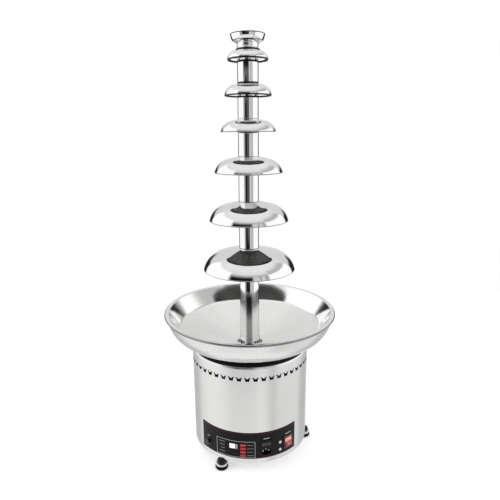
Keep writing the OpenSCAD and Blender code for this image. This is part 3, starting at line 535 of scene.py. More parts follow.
# Turns a piece that is made round Z to point outwards
POINT_OUT = Matrix.Rotation(radians(-90), 4, "X")


def fillet(points, n=5):
    """Rounds the corners of a closed outline of (x, y, radius), with n steps to a corner."""
    out = []
    for i, (x, y, radius) in enumerate(points):
        here = Vector((x, y))
        a = Vector(points[i - 1][:2]) - here
        b = Vector(points[(i + 1) % len(points)][:2]) - here
        angle = a.angle(b, 0.0)
        if radius <= 0 or not 0.02 < angle < pi - 0.02:
            out.append((here.x, here.y))
            continue
        half_tan = tan(angle / 2)
        cut = min(radius / half_tan, 0.49 * a.length, 0.49 * b.length)
        middle = (a.normalized() + b.normalized()).normalized()
        centre = here + middle * (cut * half_tan / sin(angle / 2))
        start = here + a.normalized() * cut - centre
        turn = start.angle_signed(here + b.normalized() * cut - centre)
        for k in range(n + 1):
            spoke = start.copy()
            spoke.rotate(Matrix.Rotation(-turn * k / n, 2))
            out.append(tuple(centre + spoke))
    return out


def arc(cx, cy, r, a0, a1, n):
    """Points of an arc, with angles in degrees."""
    angles = [radians(a0 + (a1 - a0) * k / n) for k in range(n + 1)]
    return [(cx + r * cos(a), cy + r * sin(a)) for a in angles]


def rounded_rect(w, h, r, cx=0.0, cz=0.0, n=6):
    corners = ((-1, -1), (1, -1), (1, 1), (-1, 1))
    return fillet([(cx + x * w / 2, cz + z * h / 2, r) for x, z in corners], n)


def bridge(bm, u, v, closed=True):
    """Quads between two rows of points."""
    for i in range(len(u) if closed else len(u) - 1):
        j = (i + 1) % len(u)
        bm.faces.new((u[i], v[i], v[j], u[j]))


def loft(bm, rows):
    """Quads between closed rows of points, with a face on the first and the last row."""
    for u, v in zip(rows, rows[1:]):
        bridge(bm, u, v)
    bm.faces.new(rows[0])
    bm.faces.new(list(reversed(rows[-1])))


def full_turn(seg):
    return [TAU * k / seg for k in range(seg)]


def turned_rows(bm, outline, angles, shape=None):
    """An outline of (radius, height) set round Z at each angle. shape, if given, scales the radius there."""
    rows = []
    for a in angles:
        s = shape(a) if shape else 1.0
        rows.append([bm.verts.new((r * s * sin(a), -r * s * cos(a), z)) for r, z in outline])
    return rows


def spin(outline, seg=160):
    """The solid that a closed outline of (radius, height) makes about Z."""
    bm = bmesh.new()
    rows = turned_rows(bm, outline, full_turn(seg))
    for u, v in zip(rows, rows[1:] + rows[:1]):
        bridge(bm, u, v)
    return bm


def disc_spin(outline, seg=48, shape=None):
    """As spin, for an open outline whose first and last points lie on the axis."""
    bm = bmesh.new()
    low = bm.verts.new((0, 0, outline[0][1]))
    high = bm.verts.new((0, 0, outline[-1][1]))
    rows = turned_rows(bm, outline[1:-1], full_turn(seg), shape)
    for u, v in zip(rows, rows[1:] + rows[:1]):
        bm.faces.new((low, v[0], u[0]))
        bm.faces.new((high, u[-1], v[-1]))
        bridge(bm, u, v, closed=False)
    return bm


def prism(outline, y0, y1, bm=None):
    """A closed outline of (x, z), drawn out from depth y0 to y1. It is added to bm where that is given."""
    if bm is None:
        bm = bmesh.new()
    loft(bm, [[bm.verts.new((x, y, z)) for x, z in outline] for y in (y0, y1)])
    return bm


def pillow(outline, y0, y1, edge, crown=0.0):
    """A plate whose front edge is rolled over and whose face may be crowned. outline is (x, z)."""
    cx = sum(x for x, z in outline) / len(outline)
    cz = sum(z for x, z in outline) / len(outline)
    half_w = max(abs(x - cx) for x, z in outline)
    half_h = max(abs(z - cz) for x, z in outline)

    def inset(d, shrink=1.0):
        wide = shrink * (half_w - d) / half_w
        high = shrink * (half_h - d) / half_h
        return [(cx + (x - cx) * wide, cz + (z - cz) * high) for x, z in outline]

    layers = [(inset(0), y0), (inset(0), y1 - edge)]
    roll_steps = 4
    for k in range(1, roll_steps + 1):
        a = pi / 2 * k / roll_steps
        layers.append((inset(edge * (1 - cos(a))), y1 - edge * (1 - sin(a))))
    for shrink in (0.75, 0.5, 0.25):
        layers.append((inset(edge, shrink), y1 + crown * (1 - shrink ** 2)))
    bm = bmesh.new()
    rows = [[bm.verts.new((x, y, z)) for x, z in points] for points, y in layers]
    bm.faces.new(rows[0])
    for u, v in zip(rows, rows[1:]):
        bridge(bm, u, v)
    top = bm.verts.new((cx, y1 + crown, cz))
    for a, b in zip(rows[-1], rows[-1][1:] + rows[-1][:1]):
        bm.faces.new((a, b, top))
    return bm


def box_round(hole, margin=0.8):
    """The box round a hole: lowest and highest arc length, then lowest and highest height."""
    xs, ys = zip(*hole)
    return min(xs) - margin, max(xs) + margin, min(ys) - margin, max(ys) + margin


def curved_sheet(az0, az1, z_rows, holes, r_in, r_out, step, edge):
    """A sheet bent round the axis, with rounded outer edges and holes.
    A hole is a polygon of (arc length, height), given counter-clockwise."""
    s0 = radians(az0) * r_out
    s1 = radians(az1) * r_out
    z0 = z_rows[0]
    z1 = z_rows[-1]
    full = az1 - az0 > 359.9
    columns = max(4, round((az1 - az0) / step))
    ss = [s0 + (s1 - s0) * k / columns for k in range(columns + 1)]
    if not full:
        shares = (0.15, 0.5, 1)
        ss = sorted(set(ss + [s0 + edge * q for q in shares] + [s1 - edge * q for q in shares]))
    boxes = [box_round(hole) for hole in holes]
    points = []
    for s in ss:
        for z in z_rows:
            on_border = z in (z0, z1) or s in (ss[0], ss[-1])
            if on_border or not any(x0 < s < x1 and y0 < z < y1 for x0, x1, y0, y1 in boxes):
                points.append((s, z))
    cuts = []
    for hole in holes:
        cuts.append(list(range(len(points), len(points) + len(hole))))
        points.extend(hole)
    verts, _, faces, _, _, cut_by = delaunay_2d_cdt([Vector(p) for p in points], [], cuts, 0, 1e-5)
    kept = [f for f, cut in zip(faces, cut_by) if not cut]

    def outer_radius(s, z):
        d = min(z - z0, z1 - z)
        if not full:
            d = min(d, s - s0, s1 - s)
        if d >= edge:
            return r_out
        return r_out - edge + sqrt(max(0.0, edge * edge - (edge - d) ** 2))

    def at(s, z, r):
        a = s / r_out
        return (r * sin(a), -r * cos(a), z)

    bm = bmesh.new()
    used = sorted({i for f in kept for i in f})
    outer = {i: bm.verts.new(at(*verts[i], outer_radius(*verts[i]))) for i in used}
    inner = {i: bm.verts.new(at(*verts[i], r_in)) for i in used}
    for f in kept:
        bm.faces.new([outer[i] for i in f])
        bm.faces.new([inner[i] for i in reversed(f)])
    sides = {(f[k - 1], f[k]) for f in kept for k in range(3)}
    for a, b in sorted(sides):
        at_seam = full and all(abs(abs(verts[i].x) - pi * r_out) < 1e-4 for i in (a, b))
        if (b, a) not in sides and not at_seam:
            bm.faces.new((outer[b], outer[a], inner[a], inner[b]))
    if full:
        bmesh.ops.remove_doubles(bm, verts=bm.verts, dist=1e-4)
    return bm


def dome_curve(i):
    """Place and radius of a dome's curve, which would level off at LIP_Z."""
    across = CANOPY_R[i] - CURVE_AT[i]
    r = (across ** 2 + DOME_H[i] ** 2) / (2 * DOME_H[i])
    return CURVE_AT[i], LIP_Z[i] - r, r


def top_z(i):
    """Height of a dome at its hole: above its curve it goes on as a cone."""
    at, cz, r = dome_curve(i)
    a = radians(CAP_SLOPE)
    return cz + r * cos(a) + (at + r * sin(a) - HOLE_R) * tan(a)


def step_z(i):
    """Height of the foot of the tube that stands on a dome."""
    return top_z(i) + TUBE_GAP


def seat_z(i):
    """Height of the shoulder that carries a dome."""
    return top_z(i) - COLLAR_DROP


def make_tube(i):
    last = i == DOME_N - 1
    if last:
        low = FLOOR_Z
        foot = [(TUBE_BORE, low, 0.4), (COLLAR_R, low, 0.4), (COLLAR_R, low + COLLAR_H, 0.9),
                (TUBE_R, low + COLLAR_H + 1.2, 1.0)]
        bore = []
    else:
        low = step_z(i + 1)
        foot = [(SOCKET_BORE, low, 0.3), (TUBE_R, low, 1.2), (TUBE_R, low + FOOT_LINE, 0)]
        bore = [(TUBE_BORE, low + NECK_IN, 0), (SOCKET_BORE, low + NECK_IN, 0)]
    seat = seat_z(i)
    top = step_z(i) + NECK_IN
    neck = [(TUBE_R, seat, 0.4), (NECK_R, seat, 0.2), (NECK_R, top, 0.6), (TUBE_BORE, top, 0.3)]
    tube = piece(f"riser_tube_{i + 1}", spin(fillet(foot + neck + bore, 7)),
                 "foot_tube" if last else "polished", f"riser_{i + 1}", body="tower")
    # The top tube's foot carries a painted shadow line where it stands on the dome below
    if i == 0:
        paint(tube, ["edge"], lambda c: int(c.z < low + FOOT_LINE))
    if last:
        half = INTAKE_W / 2
        slot = fillet([(-half, -2, 0), (half, -2, 0), (half, INTAKE_H, 2.5), (-half, INTAKE_H, 2.5)])
        cut_out(tube, slot, 10, 40, [front(45 + 90 * k, 0, FLOOR_Z) for k in range(4)])


def make_tabs():
    """The four tabs that stand out at the foot of the tower."""
    half = TAB_W / 2
    tab = fillet([(-half, 0, 0.3), (half, 0, 0.3), (half, TAB_H, 0.8), (-half, TAB_H, 0.8)], 3)
    bm = bmesh.new()
    for k in range(4):
        join(bm, prism(tab, COLLAR_R - 0.6, TAB_R), front(90 * k, 0, FLOOR_Z))
    piece("riser_tabs", bm, "foot_tube", "riser_6", body="tower")


def make_dome(i):
    """A spun sheet: hub, cone, curve, rolled bead, and back along the inside."""
    at, cz, r = dome_curve(i)
    top = top_z(i)
    edge_z = LIP_Z[i] - DOME_H[i]
    low = seat_z(i) + 0.02
    slope = tan(radians(CAP_SLOPE))
    end = degrees(asin((edge_z + 1.0 - cz) / r))
    end_in = degrees(asin((edge_z + 1.1 - cz) / (r - CANOPY_T)))
    wall = HOLE_R + CANOPY_T
    under = top - CANOPY_T / cos(radians(CAP_SLOPE)) - CANOPY_T * slope
    cap = arc(at, cz, r, 90 - CAP_SLOPE, end, 44)
    hub_round = 0.9
    cone_steps = 8
    run = (cap[0][0] - HOLE_R - hub_round) / cone_steps
    outline = [(HOLE_R, low), (HOLE_R, top - hub_round), (HOLE_R + 0.25, top - 0.35)]
    for k in range(cone_steps):
        out = hub_round + run * k
        outline.append((HOLE_R + out, top - out * slope))
    outline += cap
    outline += arc(CANOPY_R[i] - BEAD_R + BEAD_OUT, edge_z, BEAD_R, 42, -218, 14)
    outline += arc(at, cz, r - CANOPY_T, end_in, 90 - CAP_SLOPE, 36)
    outline += [(wall + 1.0, under - 0.2), (wall, under - 1.2), (wall, low)]
    dome = piece(f"dome_{i + 1}", spin(outline, 192), "dome", f"canopy_{i + 1}", body="tower",
                 sharp=50)
    small = i < 2
    line_z = edge_z + (2.0 if small else 0.5)

    def choose(c):
        """The rim's painted line of shade, and the inside darkened as painted shade; in the two small domes
        only the inside's ends are painted dark.
        """
        out = hypot(c.x, c.y)
        if c.z < line_z:
            return 1
        if out > cap[0][0]:
            behind = hypot(out - at, c.z - cz) < r - 0.6
        else:
            behind = c.z < top - (out - HOLE_R) * slope - 0.6
        if not behind or out <= HOLE_R + 0.6:
            return 0
        if small:
            return int(c.z < edge_z + 3.0 or out < 0.7 * CANOPY_R[i])
        return 2

    paint(dome, ["edge" if small else "bead", "dome_inside"], choose)


def make_crown():
    low = step_z(0)
    line_share = FOOT_LINE / (WAIST_Z - low)
    line_r = SKIRT_R - (SKIRT_R - WAIST_R) * line_share
    outline = [(SOCKET_BORE, low, 0.2), (SKIRT_R, low, 0.8), (line_r, low + FOOT_LINE, 0),
               (WAIST_R, WAIST_Z, 2.0)]
    depths = ((TUBE_R, 26.6, 0.8), (TUBE_R, 20, 2.0), (CUP_R, 14.5, 2.6), (36.6, 11.2, 0), (37.9, 7.6, 0),
              (38.7, 4.6, 0), (39.2, 2.0, 0), (CROWN_R, 0, 0.7), (CROWN_R - SHEET, 0, 0.5),
              (CUP_R - SHEET, CUP_DEPTH, 2.0), (TUBE_BORE, CUP_DEPTH, 0.6))
    outline += [(r, CROWN_Z - depth, rounding) for r, depth, rounding in depths]
    outline += [(TUBE_BORE, low + NECK_IN, 0), (SOCKET_BORE, low + NECK_IN, 0)]
    shell = piece("crown_cup_shell", spin(fillet(outline, 6)), "polished", "crown", body="crown_cup")

    def choose(c):
        """Painted lines of shadow at the rim, at the cup's lower bend and at the skirt's foot."""
        at_bend = abs(c.z - CROWN_Z + 14.6) < 1.4
        return int(c.z > CROWN_Z - 2.0 or at_bend or c.z < low + FOOT_LINE)

    paint(shell, ["edge"], choose)


def make_screw():
    """A core with a rounded head, and a flight with rounded edges and a weld along its root."""
    core = [(0, CORE_LOW), (CORE_R - 0.6, CORE_LOW), (CORE_R, CORE_LOW + 0.6)]
    core += [(CORE_R, z) for z in range(FLIGHT_LOW, FLIGHT_HIGH, 20)]
    core += arc(CORE_R - CORE_ROUND, CORE_TOP - CORE_ROUND, CORE_ROUND, 0, 90, 6)
    core += [(2, CORE_TOP), (0, CORE_TOP)]
    piece("screw_core", disc_spin(core), "polished", "auger_core", body="drive")
    half = [(FLIGHT_R - 2.6, 0), (FLIGHT_R - 0.7, 0.15), (FLIGHT_R, 0.9)]
    section = [(CORE_R - 0.4, 0)] + half + [(r, FLIGHT_T - h) for r, h in reversed(half)]
    section += [(CORE_R + 1.2, FLIGHT_T), (CORE_R + 0.2, FLIGHT_T + 0.8), (CORE_R - 0.4, FLIGHT_T + 1.1)]
    steps = 48
    count = int((FLIGHT_HIGH - FLIGHT_LOW - FLIGHT_T) / FLIGHT_PITCH * steps)
    bm = bmesh.new()
    rows = []
    for k in range(count + 1):
        a = TAU * k / steps
        z = FLIGHT_LOW + FLIGHT_PITCH * k / steps
        rows.append([bm.verts.new((r * cos(a), r * sin(a), z + h)) for r, h in section])
    loft(bm, rows)
    piece("screw_flight", bm, "polished", "auger_flight", body="drive")


def make_bowl():
    roll_x = RIM_R - ROLL_R
    upper = [(SHAFT_HOLE_R, FLOOR_Z, 0), (FLAT_R, FLOOR_Z, 14), (WALL_R, WALL_Z, 16),
             (LIP_R, RIM_Z - 0.9, 2.6), (roll_x, RIM_Z - 0.3, 0)]
    lower = [(LIP_R + SHEET + 4, RIM_Z - 3.2, 0), (LIP_R + SHEET, RIM_Z - 3.0, 1.5),
             (WALL_R + 1.8, WALL_Z - SHEET, 12), (FLAT_R + 1, FLOOR_Z - SHEET, 10),
             (SHAFT_HOLE_R, FLOOR_Z - SHEET, 0)]
    outline = fillet(upper, 8) + arc(roll_x, RIM_Z - ROLL_R, ROLL_R, 84, -150, 18) + fillet(lower, 6)
    bowl = piece("basin_bowl", spin(outline, 224), "basin", "basin", sharp=60)

    def choose(c):
        """A satin floor, and a painted line of shade along the rim's outside."""
        out = hypot(c.x, c.y)
        if out < WALL_R - 4:
            return 1
        return 2 if out > RIM_R - 1.7 else 0

    paint(bowl, ["basin_floor", "bead"], choose)


def make_jacket():
    """The wall under the bowl: an arc from its crease to the bowl's lip, and a flange on the seal."""
    crease = Vector((CREASE_R, CREASE_Z))
    chord = Vector((LIP_R + 2 * SHEET + 1, RIM_Z - 2 * SHEET)) - crease
    away = sqrt(JACKET_CURVE ** 2 - chord.length_squared / 4)
    centre = crease + chord / 2 + Vector((-chord.y, chord.x)).normalized() * away
    a0 = degrees(atan2(*reversed(crease - centre)))
    a1 = degrees(atan2(*reversed(crease + chord - centre)))
    foot = SEAL_R - SEAL_W
    outline = [(foot, SEAL_TOP)] + arc(JACKET_R - 1.1, SEAL_TOP + 1.1, 1.1, -90, -35, 4)
    outline += [(CREASE_R - 0.8, CREASE_Z - 1.1)] + arc(*centre, JACKET_CURVE, a0, a1, 36)[1:]
    outline += arc(*centre, JACKET_CURVE - SHEET, a1 - 0.6, a0 + 1.5, 36)[:-1]
    outline += [(CREASE_R - 2.4, CREASE_Z + 0.6), (JACKET_R - 1.4, SEAL_TOP + 1.7), (foot, SEAL_TOP + SHEET)]
    piece("basin_shell", spin(outline, 192), "jacket", "basin_jacket", sharp=40)


def make_gasket():
    foot = SEAL_R - SEAL_W
    outline = [(foot, SEAL_Z, 0.5), (SEAL_R, SEAL_Z, 0.8), (SEAL_R, SEAL_TOP, 1.2), (foot, SEAL_TOP, 0.5)]
    piece("gasket", spin(fillet(outline), 128), "rubber", "basin_seal")


def arc_rect(turn, z, w, h, r, rounding=0.6):
    """A rectangular opening as (arc length, height)."""
    s = radians(turn) * r
    return [(s + x, z + y) for x, y in rounded_rect(w, h, rounding, n=3)]


def arc_round(turn, z, radius, r, n):
    """A round opening as (arc length, height)."""
    return arc(radians(turn) * r, z, radius, 0, 360, n)[:-1]


def panel_holes(r):
    """What is cut through the panel, and through the housing behind it, at radius r."""
    turn, z, w, h = DISPLAY
    holes = [arc_rect(turn, z, w + 0.2, h + 0.2, r)]
    holes += [arc_rect(KEY_TURN, KEY_Z + k * KEY_PITCH, KEY_W + 0.7, KEY_H + 0.7, r, 1.2) for k in range(4)]
    turn, z, w, h = SWITCH
    holes.append(arc_rect(turn, z, w - SWITCH_RIM + 0.1, h - SWITCH_RIM + 0.1, r))
    holes.append(arc_round(*FUSE, FUSE_R + 0.1, r, 28))
    holes.append(arc_rect(INLET[0], INLET[1], SOCKET_W + 3.2, SOCKET_H + 3.2, r))
    holes += [arc_round(LAMP_TURN, z, LAMP_R + 0.1, r, 20) for z in LAMP_ZS]
    return holes


def vent_outline():
    """A pair of wings, as shares of the vent's half width and height, with rounded points."""
    right = [(0, -0.8), (0.25, -1), (0.55, -0.95), (0.74, -0.45), (0.7, 0), (0.95, 0.4), (1, 1), (0.7, 0.95),
             (0.3, 0.45), (0, 0.2)]
    left = [(-x, y) for x, y in right[-2:0:-1]]
    return fillet([(x * VENT_W, y * VENT_H, 0.25 if x == 0 else 0.9) for x, y in right + left], 3)


def make_housing():
    wings = vent_outline()
    holes = []
    for k in range(VENT_N):
        turn = (k * 360 / VENT_N + 180) % 360 - 180
        if turn > -180:
            s = radians(turn) * HOUSING_R
            holes.append([(s + x, VENT_Z + y) for x, y in wings])
    holes += panel_holes(HOUSING_R)
    rows = [BASE_Z + d for d in (0, 0.2, 0.6, 1.3, 6, *range(16, 77, 12), 86, *range(106, 207, 25), 217, 221,
                                 *range(224, 234, 3), 237, 244, 251, 255.7, 256.4, 256.8, HOUSING_H)]
    sheet = curved_sheet(-180, 180, rows, holes, HOUSING_R - SHEET, HOUSING_R, 1.25, 1.3)
    housing = piece("housing_wall", sheet, "satin", "housing", sharp=50)
    # The vent on the sheet's seam is cut when the sheet is closed
    cut_out(housing, wings, HOUSING_R - 4, HOUSING_R + 4, [front(180, 0, VENT_Z)])

    def choose(c):
        """Painted shade on the inside, and a painted line of shade along the lower edge."""
        up = c.z - BASE_Z
        if hypot(c.x, c.y) < HOUSING_R - 0.12 and 1.5 < up < HOUSING_H - 1.5:
            return 1
        return 2 if up < 0.7 else 0

    paint(housing, ["shade", "bead"], choose)


def bar(bm, az0, az1, z, height):
    """A thin raised strip of ink on the panel's face, with its middle at z."""
    n = max(1, ceil((az1 - az0) / 1.5))
    z0 = z - height / 2
    z1 = z + height / 2
    section = ((INK_BACK, z0), (INK_FACE, z0), (INK_FACE, z1), (INK_BACK, z1))
    angles = [radians(az0 + (az1 - az0) * k / n) for k in range(n + 1)]
    loft(bm, turned_rows(bm, section, angles))


def bent_frame(az0, az1, z0, z1, side, rail):
    """A thin raised frame of ink: its sides are side degrees wide and its rails rail millimetres high."""
    n = ceil((az1 - az0 - 2 * side) / 1.5)
    along = [radians(az0 + side + (az1 - az0 - 2 * side) * k / n) * INK_FACE for k in range(n + 1)]
    window = [(s, z0 + rail) for s in along] + [(s, z1 - rail) for s in reversed(along)]
    return curved_sheet(az0, az1, [z0, z1], [window], INK_BACK, INK_FACE, 1.5, 0)


def make_panel():
    """The panel with its printed lines. Plain bars stand where the photograph has words."""
    rows = [PANEL_Z + d for d in (0, 0.1, 0.35, 0.7, 4, *range(8, 63, 6), 66.5, 69.8, 70.15, 70.4, PANEL_H)]
    holes = panel_holes(PANEL_FACE)
    plate = curved_sheet(-PANEL_HALF, PANEL_HALF, rows, holes, PANEL_BACK, PANEL_FACE, 1.25, 0.7)
    piece("panel_plate", plate, "film", "control_panel", sharp=50)
    half = PANEL_HALF - 0.5
    border = bent_frame(-half, half, PANEL_Z + 1.2, PANEL_Z + PANEL_H - 1.2, 0.5, 1.3)
    piece("panel_border", border, "red_line")
    outline = bent_frame(-30.9, 6.9, PANEL_Z + 3.0, PANEL_Z + 47.5, 0.36, 0.9)
    piece("panel_outline", outline, "white_ink")
    bm = bmesh.new()
    for k, (left, right) in enumerate(((-28.6, -22.0), (-28.0, -22.4), (-26.4, -22.4), (-28.2, -22.0))):
        bar(bm, left, right, PANEL_Z + 39.5 - 9.0 * k, 1.5)
    for k, right in enumerate((5.2, 4.6, 5.4, 5.0)):
        bar(bm, -0.6, right, KEY_Z + k * KEY_PITCH, 1.4)
    piece("panel_marks", bm, "grey_ink")
    bm = bmesh.new()
    for turn, half, z, height in ((FUSE[0], 1.6, FUSE[1] + 15.7, 1.4), (17.5, 2.9, INLET[1] + 35.4, 1.8),
                                  (SWITCH[0], 3.4, SWITCH[1] + 22.4, 1.6)):
        bar(bm, turn - half, turn + half, z, height)
    piece("panel_tags", bm, "white_ink")


def make_display():
    """A dark window with a lit field, a dim field and two digits."""
    turn, z, w, h = DISPLAY
    place = front(turn, 0, z)
    case = pillow(rounded_rect(w, h, 1.0), DISPLAY_BACK, DISPLAY_FACE, 0.35)
    piece("display_case", case, "window", "display", place=place)
    field_h = 12.4
    field_back = DISPLAY_FACE - 0.1
    field = pillow(rounded_rect(13.8, field_h, 0.5, -3.3), field_back, DISPLAY_FACE + 0.12, 0.05)
    piece("display_field", field, "lit", place=place)
    side = pillow(rounded_rect(5.2, field_h, 0.4, 7.4), field_back, DISPLAY_FACE + 0.1, 0.05)
    piece("display_side", side, "dim", place=place)
    thick = 0.7
    level = (3.0, thick)
    upright = (thick, 2.7)
    segments = {"a": (0, 3.6, *level), "g": (0, 0, *level), "d": (0, -3.6, *level),
                "f": (-1.7, 1.8, *upright), "b": (1.7, 1.8, *upright),
                "e": (-1.7, -1.8, *upright), "c": (1.7, -1.8, *upright)}
    bm = bmesh.new()
    for middle, lit in ((-6.4, "fgbc"), (-0.6, "abcdef")):
        for key in lit:
            x, up, wide, high = segments[key]
            stroke = rounded_rect(wide, high, 0.25, middle + x, up, 3)
            prism(stroke, DISPLAY_FACE + 0.1, DISPLAY_FACE + 0.16, bm)
    piece("display_digits", bm, "dim", place=place)


def make_keys():
    """Four keys, each with a wider foot behind the panel that holds it in."""
    key_edge = PANEL_FACE + KEY_OUT - KEY_CROWN
    for k in range(4):
        bm = pillow(rounded_rect(KEY_W, KEY_H, 1.1), KEY_BACK, key_edge, 0.7, KEY_CROWN)
        prism(rounded_rect(KEY_W + 2, KEY_H + 2, 1.0), KEY_BACK, KEY_BACK + 3.5, bm)
        piece(f"key_cap_{k + 1}", bm, "red", f"button_{k + 1}", body=f"key_{k + 1}",
              place=front(KEY_TURN, 0, KEY_Z + (3 - k) * KEY_PITCH))


def make_rocker(cave_w, cave_h):
    """The switch's rocker, with the common line and ring on its hollow face."""
    turn, z, _, _ = SWITCH
    place = front(turn, SWITCH_PIVOT, z) @ Matrix.Rotation(radians(ROCKER_TILT), 4, "X")
    reach = cave_h / 2 - 1.3
    half_w = cave_w / 2 - SLIDE_FIT

    def face_out(up):
        return ROCKER_OUT + ROCKER_RISE * (up / reach) ** 2

    steps = 14
    ups = [-reach + 2 * reach * k / steps for k in range(steps + 1)]
    face = [(face_out(up), up, 0.9 if k in (0, steps) else 0) for k, up in enumerate(ups)]
    profile = fillet(face + [(2.6, reach, 0.8), (-3, 4, 0.8), (-3, -4, 0.8), (2.6, -reach, 0.8)])
    bm = bmesh.new()
    rows = []
    for x, d in ((-half_w, 0.5), (-half_w + 0.15, 0.22), (-half_w + 0.5, 0.0), (half_w - 0.5, 0.0),
                 (half_w - 0.15, 0.22), (half_w, 0.5)):
        shrunk = [(y - copysign(0.6 * d, y), up * (1 - d / 16)) for y, up in profile]
        rows.append([bm.verts.new((x, y, up)) for y, up in shrunk])
    loft(bm, rows)
    piece("switch_rocker", bm, "rocker", "rocker", body="power_rocker", place=place)
    mark_back = face_out(MARK_Z) - 0.2
    mark_face = face_out(MARK_Z) + 0.22
    line = prism(rounded_rect(1.1, 4.4, 0.3, 0, MARK_Z, 3), mark_back, mark_face)
    piece("switch_mark_on", line, "white_ink", body="power_rocker", place=place)
    ring = spin([(1.5, mark_back), (2.3, mark_back), (2.3, mark_face), (1.5, mark_face)], 24)
    piece("switch_mark_off", ring, "white_ink", body="power_rocker",
          place=place @ Matrix.Translation((0, 0, -MARK_Z)) @ POINT_OUT)


def make_switch():
    turn, z, w, h = SWITCH
    place = front(turn, 0, z)
    cave_w = w - 2 * SWITCH_RIM
    cave_h = h - 2 * SWITCH_RIM
    cave = rounded_rect(cave_w, cave_h, 0.8)
    rim_back = 149.3
    body_back = 125
    cave_floor = 142.3
    rim = pillow(rounded_rect(w, h, 1.8), rim_back, SWITCH_FACE, 0.9)
    case = piece("switch_case", rim, "gloss", "rocker_frame", place=place)
    cut_out(case, cave, cave_floor, BEYOND, [place])
    block = prism(rounded_rect(w - SWITCH_RIM, h - SWITCH_RIM, 0.6), body_back, rim_back + 0.3)
    body = piece("switch_body", block, "black", place=place)
    cut_out(body, cave, cave_floor, BEYOND, [place])
    make_rocker(cave_w, cave_h)


def make_fuse():
    """The fuse holder's flange and barrel, and its knurled cap with a slot."""
    turn, z = FUSE
    place = front(turn, 0, z) @ POINT_OUT
    low = 149.0
    high = 151.5
    ring = [(FUSE_BORE, low, 0), (8.4, low, 0.2), (8.4, high, 0.7), (FUSE_BORE, high, 0.3)]
    piece("fuse_flange", spin(fillet(ring), 48), "gloss", "fuse_holder", place=place)
    back = 121.5
    pipe = [(FUSE_BORE, back), (FUSE_R, back), (FUSE_R, low + 0.2), (FUSE_BORE, low + 0.2)]
    piece("fuse_barrel", spin(pipe, 40), "black", place=place)
    stem_r = FUSE_BORE - 0.05
    stem_back = 135
    under = high + 0.35
    top = 157.0
    knob = [(0, stem_back), (stem_r, stem_back), (stem_r, under), (KNOB_R - 0.3, under),
            (KNOB_R, under + 0.3), (KNOB_R, top - 1.4)]
    knob += arc(KNOB_R - 1.3, top - 1.3, 1.3, 0, 80, 5) + [(3, top), (0, top)]
    knurled = disc_spin(knob, 120, lambda a: 1.0 + 0.012 * cos(24 * a))
    cap = piece("fuse_knob", knurled, "gloss", "fuse_cap", body="fuse_top", place=place)
    slot = [(-9, -0.7), (9, -0.7), (9, 0.7), (-9, 0.7)]
    cut_out(cap, slot, top - 1.6, top + 1, [front(turn, 0, z)])


def make_inlet():
    """The mains inlet: a flange with a socket and a fuse drawer, the well behind it, and three pins."""
    turn, z, w, h = INLET
    place = front(turn, 0, z)
    back = 149.2
    plate = pillow(rounded_rect(w, h, 3.0, 0, (h - SOCKET_H) / 2 - 4.5), back, INLET_FACE, 0.6)
    flange = piece("inlet_flange", plate, "black", "inlet_body", place=place)
    half_w = SOCKET_W / 2
    half_h = SOCKET_H / 2
    right = [(half_w, -half_h, 1.2), (half_w, 3.4, 1.0), (7.0, half_h, 1.0)]
    left = [(-x, up, rounding) for x, up, rounding in reversed(right)]
    socket = fillet(left[-1:] + right + left[:-1], 4)
    socket_back = INLET_FACE - SOCKET_D
    drawer_z = half_h + 12
    cut_out(flange, socket, socket_back, BEYOND, [place])
    cut_out(flange, rounded_rect(SOCKET_W, 8, 0.8, 0, drawer_z), INLET_FACE - 0.8, BEYOND, [place])
    block = prism(rounded_rect(SOCKET_W + 3, SOCKET_H + 3, 1.0), socket_back - 4, back + 0.2)
    well = piece("inlet_well", block, "black", place=place)
    cut_out(well, socket, socket_back, BEYOND, [place])
    drawer = prism(rounded_rect(SOCKET_W - 1.2, 6.8, 0.6, 0, drawer_z), INLET_FACE - 0.85, INLET_FACE - 0.2)
    piece("fuse_drawer", drawer, "gloss", place=place)
    bm = bmesh.new()
    for x, up in ((-7, 0.5), (7, 0.5), (0, 4.5)):
        prism(rounded_rect(2, 4, 0.5, x, up, 3), socket_back - 0.5, INLET_FACE - 4, bm)
    piece("inlet_blades", bm, "pin", "inlet_pins", place=place)


def make_lamps():
    """Two lenses, each a stem through the panel with a wider domed head."""
    back = 137
    low = PANEL_FACE - 0.4
    top = PANEL_FACE + 1.2
    outline = [(0, back), (LAMP_R, back), (LAMP_R, low), (LAMP_R + 1, low), (LAMP_R + 1, top - 0.85)]
    outline += arc(LAMP_R, top - 0.9, 1.0, 0, 60, 4) + [(1.4, top), (0, top)]
    bm = bmesh.new()
    for z in LAMP_ZS:
        join(bm, disc_spin(outline, 40), front(LAMP_TURN, 0, z) @ POINT_OUT)
    piece("lamp_lenses", bm, "lens", "indicator_lamps")


